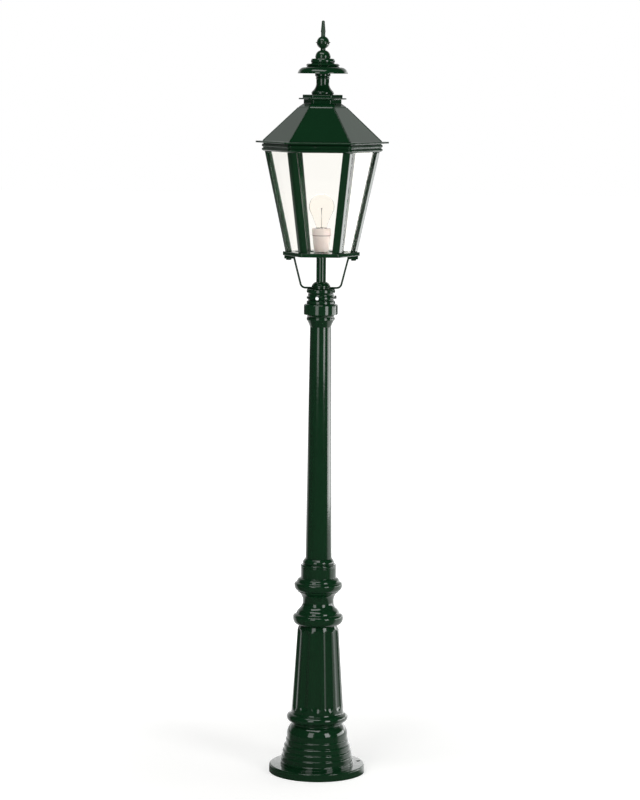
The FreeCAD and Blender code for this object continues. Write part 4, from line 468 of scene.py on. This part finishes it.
# Tube and pinch above it: half width, half depth and rise in millimetres
FOOT_TUBE = ((2.2, 2.2, 10.5), (2.2, 2.2, 27.0), (1.6, 2.2, 30.0), (1.0, 2.2, 32.5), (1.0, 2.2, 37.4),
             (0.7, 1.8, 38.5))
LEAD_START = 2.0 * MM
LEAD_PINCH = 34.0 * MM
LEAD_NECK = 5.0 * MM
LEAD_GAP = 1.2 * MM
LEAD_NECK_GAP = 1.4 * MM
LEAD_TIP = 1.2 * MM
LEAD_END_SHARE = 0.93


def wire_tree():
    """A round wire drawn along each line of the input mesh."""
    tree = bpy.data.node_groups.new("drawn_wire", "GeometryNodeTree")
    tree.interface.new_socket("Path", in_out="INPUT", socket_type="NodeSocketGeometry")
    tree.interface.new_socket("Wire Radius", in_out="INPUT", socket_type="NodeSocketFloat")
    tree.interface.new_socket("Finish", in_out="INPUT", socket_type="NodeSocketMaterial")
    tree.interface.new_socket("Wire", in_out="OUTPUT", socket_type="NodeSocketGeometry")
    given = add(tree, "NodeGroupInput").outputs
    line = add(tree, "GeometryNodeMeshToCurve", {"Mesh": given["Path"]})
    ring = add(tree, "GeometryNodeCurvePrimitiveCircle", {
        "Resolution": WIRE_SIDES, "Radius": given["Wire Radius"]})
    tube = add(tree, "GeometryNodeCurveToMesh", {
        "Curve": line.outputs["Curve"], "Profile Curve": ring.outputs["Curve"], "Fill Caps": True})
    solid = add(tree, "GeometryNodeRealizeInstances", {"Geometry": tube.outputs["Mesh"]})
    smooth = add(tree, "GeometryNodeSetShadeSmooth", {
        "Geometry": solid.outputs["Geometry"], "Shade Smooth": True})
    drawn = add(tree, "GeometryNodeSetMaterial", {
        "Geometry": smooth.outputs["Geometry"], "Material": given["Finish"]})
    add(tree, "NodeGroupOutput", {"Wire": drawn.outputs["Geometry"]})
    return tree


def polyline(name, *lines):
    """A mesh of open lines through the given points."""
    mesh = bpy.data.meshes.new(name)
    points = [point for line in lines for point in line]
    joins = []
    start = 0
    for line in lines:
        joins += [(start + step, start + step + 1) for step in range(len(line) - 1)]
        start += len(line)
    mesh.from_pydata(points, joins, [])
    return mesh


def filament_coil(wire):
    """The filament as a close coil between the ends of its lead wires."""
    low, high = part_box("filament")
    middle = (Vector(low) + Vector(high)) / 2
    steps = COIL_TURNS * TURN_POINTS
    coil = []
    for step in range(steps + 1):
        angle = step / TURN_POINTS * math.tau
        along = low[1] + (high[1] - low[1]) * step / steps
        coil.append((middle.x + COIL_RADIUS * math.cos(angle), along,
                     middle.z + COIL_RADIUS * math.sin(angle)))
    piece = made_by(wire, "filament_coil", polyline("filament_path", coil),
                    {"Wire Radius": COIL_WIRE, "Finish": TUNGSTEN})
    fit(piece, "post", "filament_wire", "filament")


def glass_foot():
    """The glass foot of the bulb with its pinch."""
    low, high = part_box("bulb_mount")
    radius = (high[0] - low[0]) / 2
    rings = [(share * radius, share * radius, rise) for share, rise in FOOT_FLARE]
    rings += [(wide * MM, deep * MM, rise) for wide, deep, rise in FOOT_TUBE]
    points = []
    for wide, deep, rise in rings:
        for step in range(RING_POINTS):
            angle = step / RING_POINTS * math.tau
            points.append((wide * math.cos(angle), deep * math.sin(angle), low[2] + rise * MM))
    faces = [tuple(reversed(range(RING_POINTS)))]
    for ring in range(len(rings) - 1):
        for step in range(RING_POINTS):
            here = ring * RING_POINTS + step
            beside = ring * RING_POINTS + (step + 1) % RING_POINTS
            faces.append((here, beside, beside + RING_POINTS, here + RING_POINTS))
    faces.append(tuple(range(len(points) - RING_POINTS, len(points))))
    mesh = bpy.data.meshes.new("lamp_foot_glass")
    mesh.from_pydata(points, [], faces)
    mesh.materials.append(BULB_GLASS)
    mesh.shade_smooth()
    glass = bpy.data.objects.new("lamp_foot_glass", mesh)
    SCENE.collection.objects.link(glass)
    fit(glass, "post", "bulb_glass", "bulb_mount")


def lead_wires(wire):
    """The two wires that rise from the glass foot and hold the ends of the filament."""
    z_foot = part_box("bulb_mount")[0][2]
    low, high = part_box("filament")
    z_pinch = z_foot + LEAD_PINCH
    z_end = low[2] - WIRE_RADIUS * 0.5
    leads = []
    for end in (low[1], high[1]):
        side = math.copysign(1.0, end)
        leads.append([
            (0, side * LEAD_GAP, z_foot + LEAD_START),
            (0, side * LEAD_GAP, z_pinch),
            (0, side * LEAD_NECK_GAP, z_pinch + LEAD_NECK),
            (0, end * LEAD_END_SHARE, z_end),
            (0, end * LEAD_END_SHARE, z_end + LEAD_TIP)])
    piece = made_by(wire, "lamp_lead_wires", polyline("lead_path", *leads),
                    {"Wire Radius": WIRE_RADIUS, "Finish": TUNGSTEN})
    fit(piece, "post", "filament_wire")


# Rolls along the six hips of the roof, where the sheets are soldered together. Drops are from the shell's top.
HIP_ROLL = 1.5 * MM
HIP_FOOT_INSET = 17.1 * MM
HIP_FOOT_DROP = 97.6 * MM
HIP_TOP_REACH = 56.8 * MM
HIP_TOP_DROP = 19.6 * MM


def hip_rolls(wire):
    """A straight roll from the foot to the top of each hip."""
    x_brim, _, z_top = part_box("roof_shell")[1]
    ends = ((x_brim - HIP_FOOT_INSET, z_top - HIP_FOOT_DROP), (HIP_TOP_REACH, z_top - HIP_TOP_DROP))
    hips = []
    for corner in range(HEXAGON):
        angle = corner / HEXAGON * math.tau
        hips.append([(reach * math.cos(angle), reach * math.sin(angle), level) for reach, level in ends])
    piece = made_by(wire, "roof_hip_rolls", polyline("hip_lines", *hips),
                    {"Wire Radius": HIP_ROLL, "Finish": SHEET_ENAMEL})
    fit(piece, "roof", "green_paint")


DRAWN_WIRE = wire_tree()
filament_coil(DRAWN_WIRE)
glass_foot()
lead_wires(DRAWN_WIRE)
hip_rolls(DRAWN_WIRE)


def around(bearing, distance, height):
    """A point round the post; bearing 0 is the front and grows towards the right."""
    turn = math.radians(bearing)
    return Vector((math.sin(turn) * distance, -math.cos(turn) * distance, height))


# Pale studio floor. Camera and transmission rays see it white, with a soft shadow round the foot.
# Glossy rays see it dark in front, with white paper behind the post: right, and a shorter sheet left.
# Spans are in metres from the post, edges are cosines of the angle from the middle of the sheet.
FLOOR_REACH = 30.0
FLOOR_COLOUR = "#E6E6E4"
MIRRORED_FLOOR_COLOUR = "#4A4A48"
SHADOW_SPAN = (0.3, 1.6)
SHADOW_GLOW = 0.52
FRONT_FLOOR = 0.08
RIGHT_PAPER = {"bearing": 138, "edge": (0.45, 0.75), "light": 1.2, "span": (5.0, 12.0)}
LEFT_PAPER = {"bearing": -152, "edge": (0.74, 0.93), "light": 0.9, "span": (4.5, 8.0)}


def paper_light(tree, place, away, ground, bearing, edge, light, span):
    """The light of a sheet of paper on the floor, added to the ground's."""
    way = add(tree, "ShaderNodeVectorMath", {0: place}, operation="NORMALIZE").outputs["Vector"]
    towards = add(tree, "ShaderNodeVectorMath", {0: way, 1: around(bearing, 1.0, 0.0)}, operation="DOT_PRODUCT")
    across = ramp(tree, towards.outputs["Value"], edge, (0.0, light), "SMOOTHSTEP")
    along = ramp(tree, away, span, (1.0, 0.0), "SMOOTHSTEP")
    return maths(tree, "MULTIPLY_ADD", across, along, ground)


def studio_floor():
    mesh = bpy.data.meshes.new("studio_floor")
    corners = [(-FLOOR_REACH, -FLOOR_REACH, 0), (FLOOR_REACH, -FLOOR_REACH, 0),
               (FLOOR_REACH, FLOOR_REACH, 0), (-FLOOR_REACH, FLOOR_REACH, 0)]
    mesh.from_pydata(corners, [], [(0, 1, 2, 3)])
    floor = bpy.data.objects.new("studio_floor", mesh)
    SCENE.collection.objects.link(floor)
    material, tree, place = finish_named("white_studio_floor")
    ray = add(tree, "ShaderNodeLightPath").outputs
    away = add(tree, "ShaderNodeVectorMath", {0: place}, operation="LENGTH").outputs["Value"]
    seen = maths(tree, "MAXIMUM", ray["Is Camera Ray"], ray["Is Transmission Ray"])
    white = ramp(tree, away, SHADOW_SPAN, (SHADOW_GLOW, 1.0), "SMOOTHSTEP")
    mirrored = paper_light(tree, place, away, FRONT_FLOOR, **RIGHT_PAPER)
    mirrored = paper_light(tree, place, away, mirrored, **LEFT_PAPER)
    shown = maths(tree, "MAXIMUM", maths(tree, "MULTIPLY", white, seen),
                  maths(tree, "MULTIPLY", mirrored, ray["Is Glossy Ray"]))
    colour = blend(tree, ray["Is Glossy Ray"], srgb(FLOOR_COLOUR), srgb(MIRRORED_FLOOR_COLOUR))
    matt = add(tree, "ShaderNodeBsdfDiffuse", {"Color": colour})
    glow = add(tree, "ShaderNodeEmission", {"Color": WHITE, "Strength": shown})
    both = add(tree, "ShaderNodeAddShader", {0: matt.outputs["BSDF"], 1: glow.outputs["Emission"]})
    cover(tree, both.outputs["Shader"])
    mesh.materials.append(material)


# White studio as the gloss mirrors it: bright walls above the horizon behind the post, dim in front and above.
# Camera and transmission rays see it white on every side.
WALL_LIGHT = 1.9
# Height on the sphere of directions, and share of the wall's light there
WALL_LEVELS = ((0.0, 0.03), (0.08, 1.0), (0.18, 1.0), (0.25, 0.6), (0.43, 0.42), (0.56, 0.38), (0.72, 0.02))
WALL_EDGE = (0.45, 0.70)
WALL_SIDES = (-0.6, 0.6)
LEFT_SHARE = 0.6
RIGHT_SHARE = 1.15
ROOM_LIGHT = (0.04, 0.04, 0.04, 1)


def studio_world():
    world = bpy.data.worlds.new("white_studio")
    SCENE.world = world
    world.use_nodes = True
    tree = world.node_tree
    tree.nodes.clear()
    way = add(tree, "ShaderNodeTexCoord").outputs["Generated"]
    parts = add(tree, "ShaderNodeSeparateXYZ", {"Vector": way}).outputs
    back = ramp(tree, parts["Y"], WALL_EDGE, (0.0, 1.0), "SMOOTHSTEP")
    sides = ramp(tree, parts["X"], WALL_SIDES, (LEFT_SHARE * WALL_LIGHT, RIGHT_SHARE * WALL_LIGHT))
    walls = add(tree, "ShaderNodeValToRGB", {"Fac": ramp(tree, parts["Z"], (-1.0, 1.0), (0.0, 1.0))})
    stops = walls.color_ramp.elements
    stops[0].color = stops[1].color = BLACK
    for rise, grey in WALL_LEVELS:
        stops.new((rise + 1) / 2).color = (grey, grey, grey, 1)
    paper = maths(tree, "MULTIPLY", maths(tree, "MULTIPLY", back, sides), walls.outputs["Color"])
    room = add(tree, "ShaderNodeMix", {"Factor": 1.0, "A": ROOM_LIGHT, "B": paper},
               data_type="RGBA", blend_type="ADD").outputs["Result"]
    ray = add(tree, "ShaderNodeLightPath").outputs
    seen = maths(tree, "MAXIMUM", ray["Is Camera Ray"], ray["Is Transmission Ray"])
    light = add(tree, "ShaderNodeBackground", {"Color": blend(tree, seen, room, WHITE), "Strength": 1.0})
    add(tree, "ShaderNodeOutputWorld", {"Surface": light.outputs["Background"]})


def softbox(name, bearing, distance, height, width, tall, radiance, aim_height=None):
    """A lamp box that faces the post, upright or aimed at a height; radiance is in units of white."""
    lamp = bpy.data.lights.new(name, "AREA")
    lamp.shape = "RECTANGLE"
    lamp.size = width
    lamp.size_y = tall
    lamp.energy = radiance * math.pi * width * tall
    box = bpy.data.objects.new(name, lamp)
    box.location = around(bearing, distance, height)
    aim = Vector((0, 0, height if aim_height is None else aim_height)) - box.location
    box.rotation_euler = aim.to_track_quat("-Z", "Y").to_euler()
    box.visible_camera = False
    SCENE.collection.objects.link(box)


studio_floor()
studio_world()
softbox("key_box_right", bearing=44, distance=3.5, height=1.69, width=1.15, tall=2.1, radiance=6.0)
softbox("fill_box_left", bearing=-23, distance=3.8, height=2.13, width=1.40, tall=3.0, radiance=3.1)
softbox("high_box_front", bearing=-24, distance=2.2, height=5.0, width=4.0, tall=1.7, radiance=4.0,
        aim_height=1.6)
softbox("rim_card_right", bearing=108, distance=3.0, height=0.54, width=2.4, tall=0.70, radiance=5.4)
softbox("low_card_behind", bearing=165, distance=3.0, height=0.42, width=3.0, tall=0.8, radiance=1.3)

# Camera at the photograph's viewpoint, in metres and degrees.
# The focal length is in pixels of a picture 800 pixels high.
IMAGE_HEIGHT = 800
FOCAL_PIXELS = 2788.55
SENSOR_MM = 36.0
CLIP_END = 200.0
CAMERA_HEIGHT = 1.70
CAMERA_DISTANCE = 6.60
CAMERA_BEARING = 2.7
CAMERA_PITCH = -6.882
CAMERA_ROLL = 0.5


def photo_camera():
    data = bpy.data.cameras.new("photo_camera")
    data.sensor_fit = "VERTICAL"
    data.sensor_height = SENSOR_MM
    data.lens = FOCAL_PIXELS / IMAGE_HEIGHT * SENSOR_MM
    data.clip_end = CLIP_END
    camera = bpy.data.objects.new("photo_camera", data)
    stand = Matrix.Translation(around(CAMERA_BEARING, CAMERA_DISTANCE, CAMERA_HEIGHT))
    level = Matrix.Rotation(math.radians(CAMERA_BEARING), 4, "Z")
    tilt = Matrix.Rotation(math.radians(90 + CAMERA_PITCH), 4, "X")
    roll = Matrix.Rotation(math.radians(CAMERA_ROLL), 4, "Z")
    camera.matrix_world = stand @ level @ tilt @ roll
    SCENE.collection.objects.link(camera)
    SCENE.camera = camera


photo_camera()
SCENE.view_settings.view_transform = "Standard"
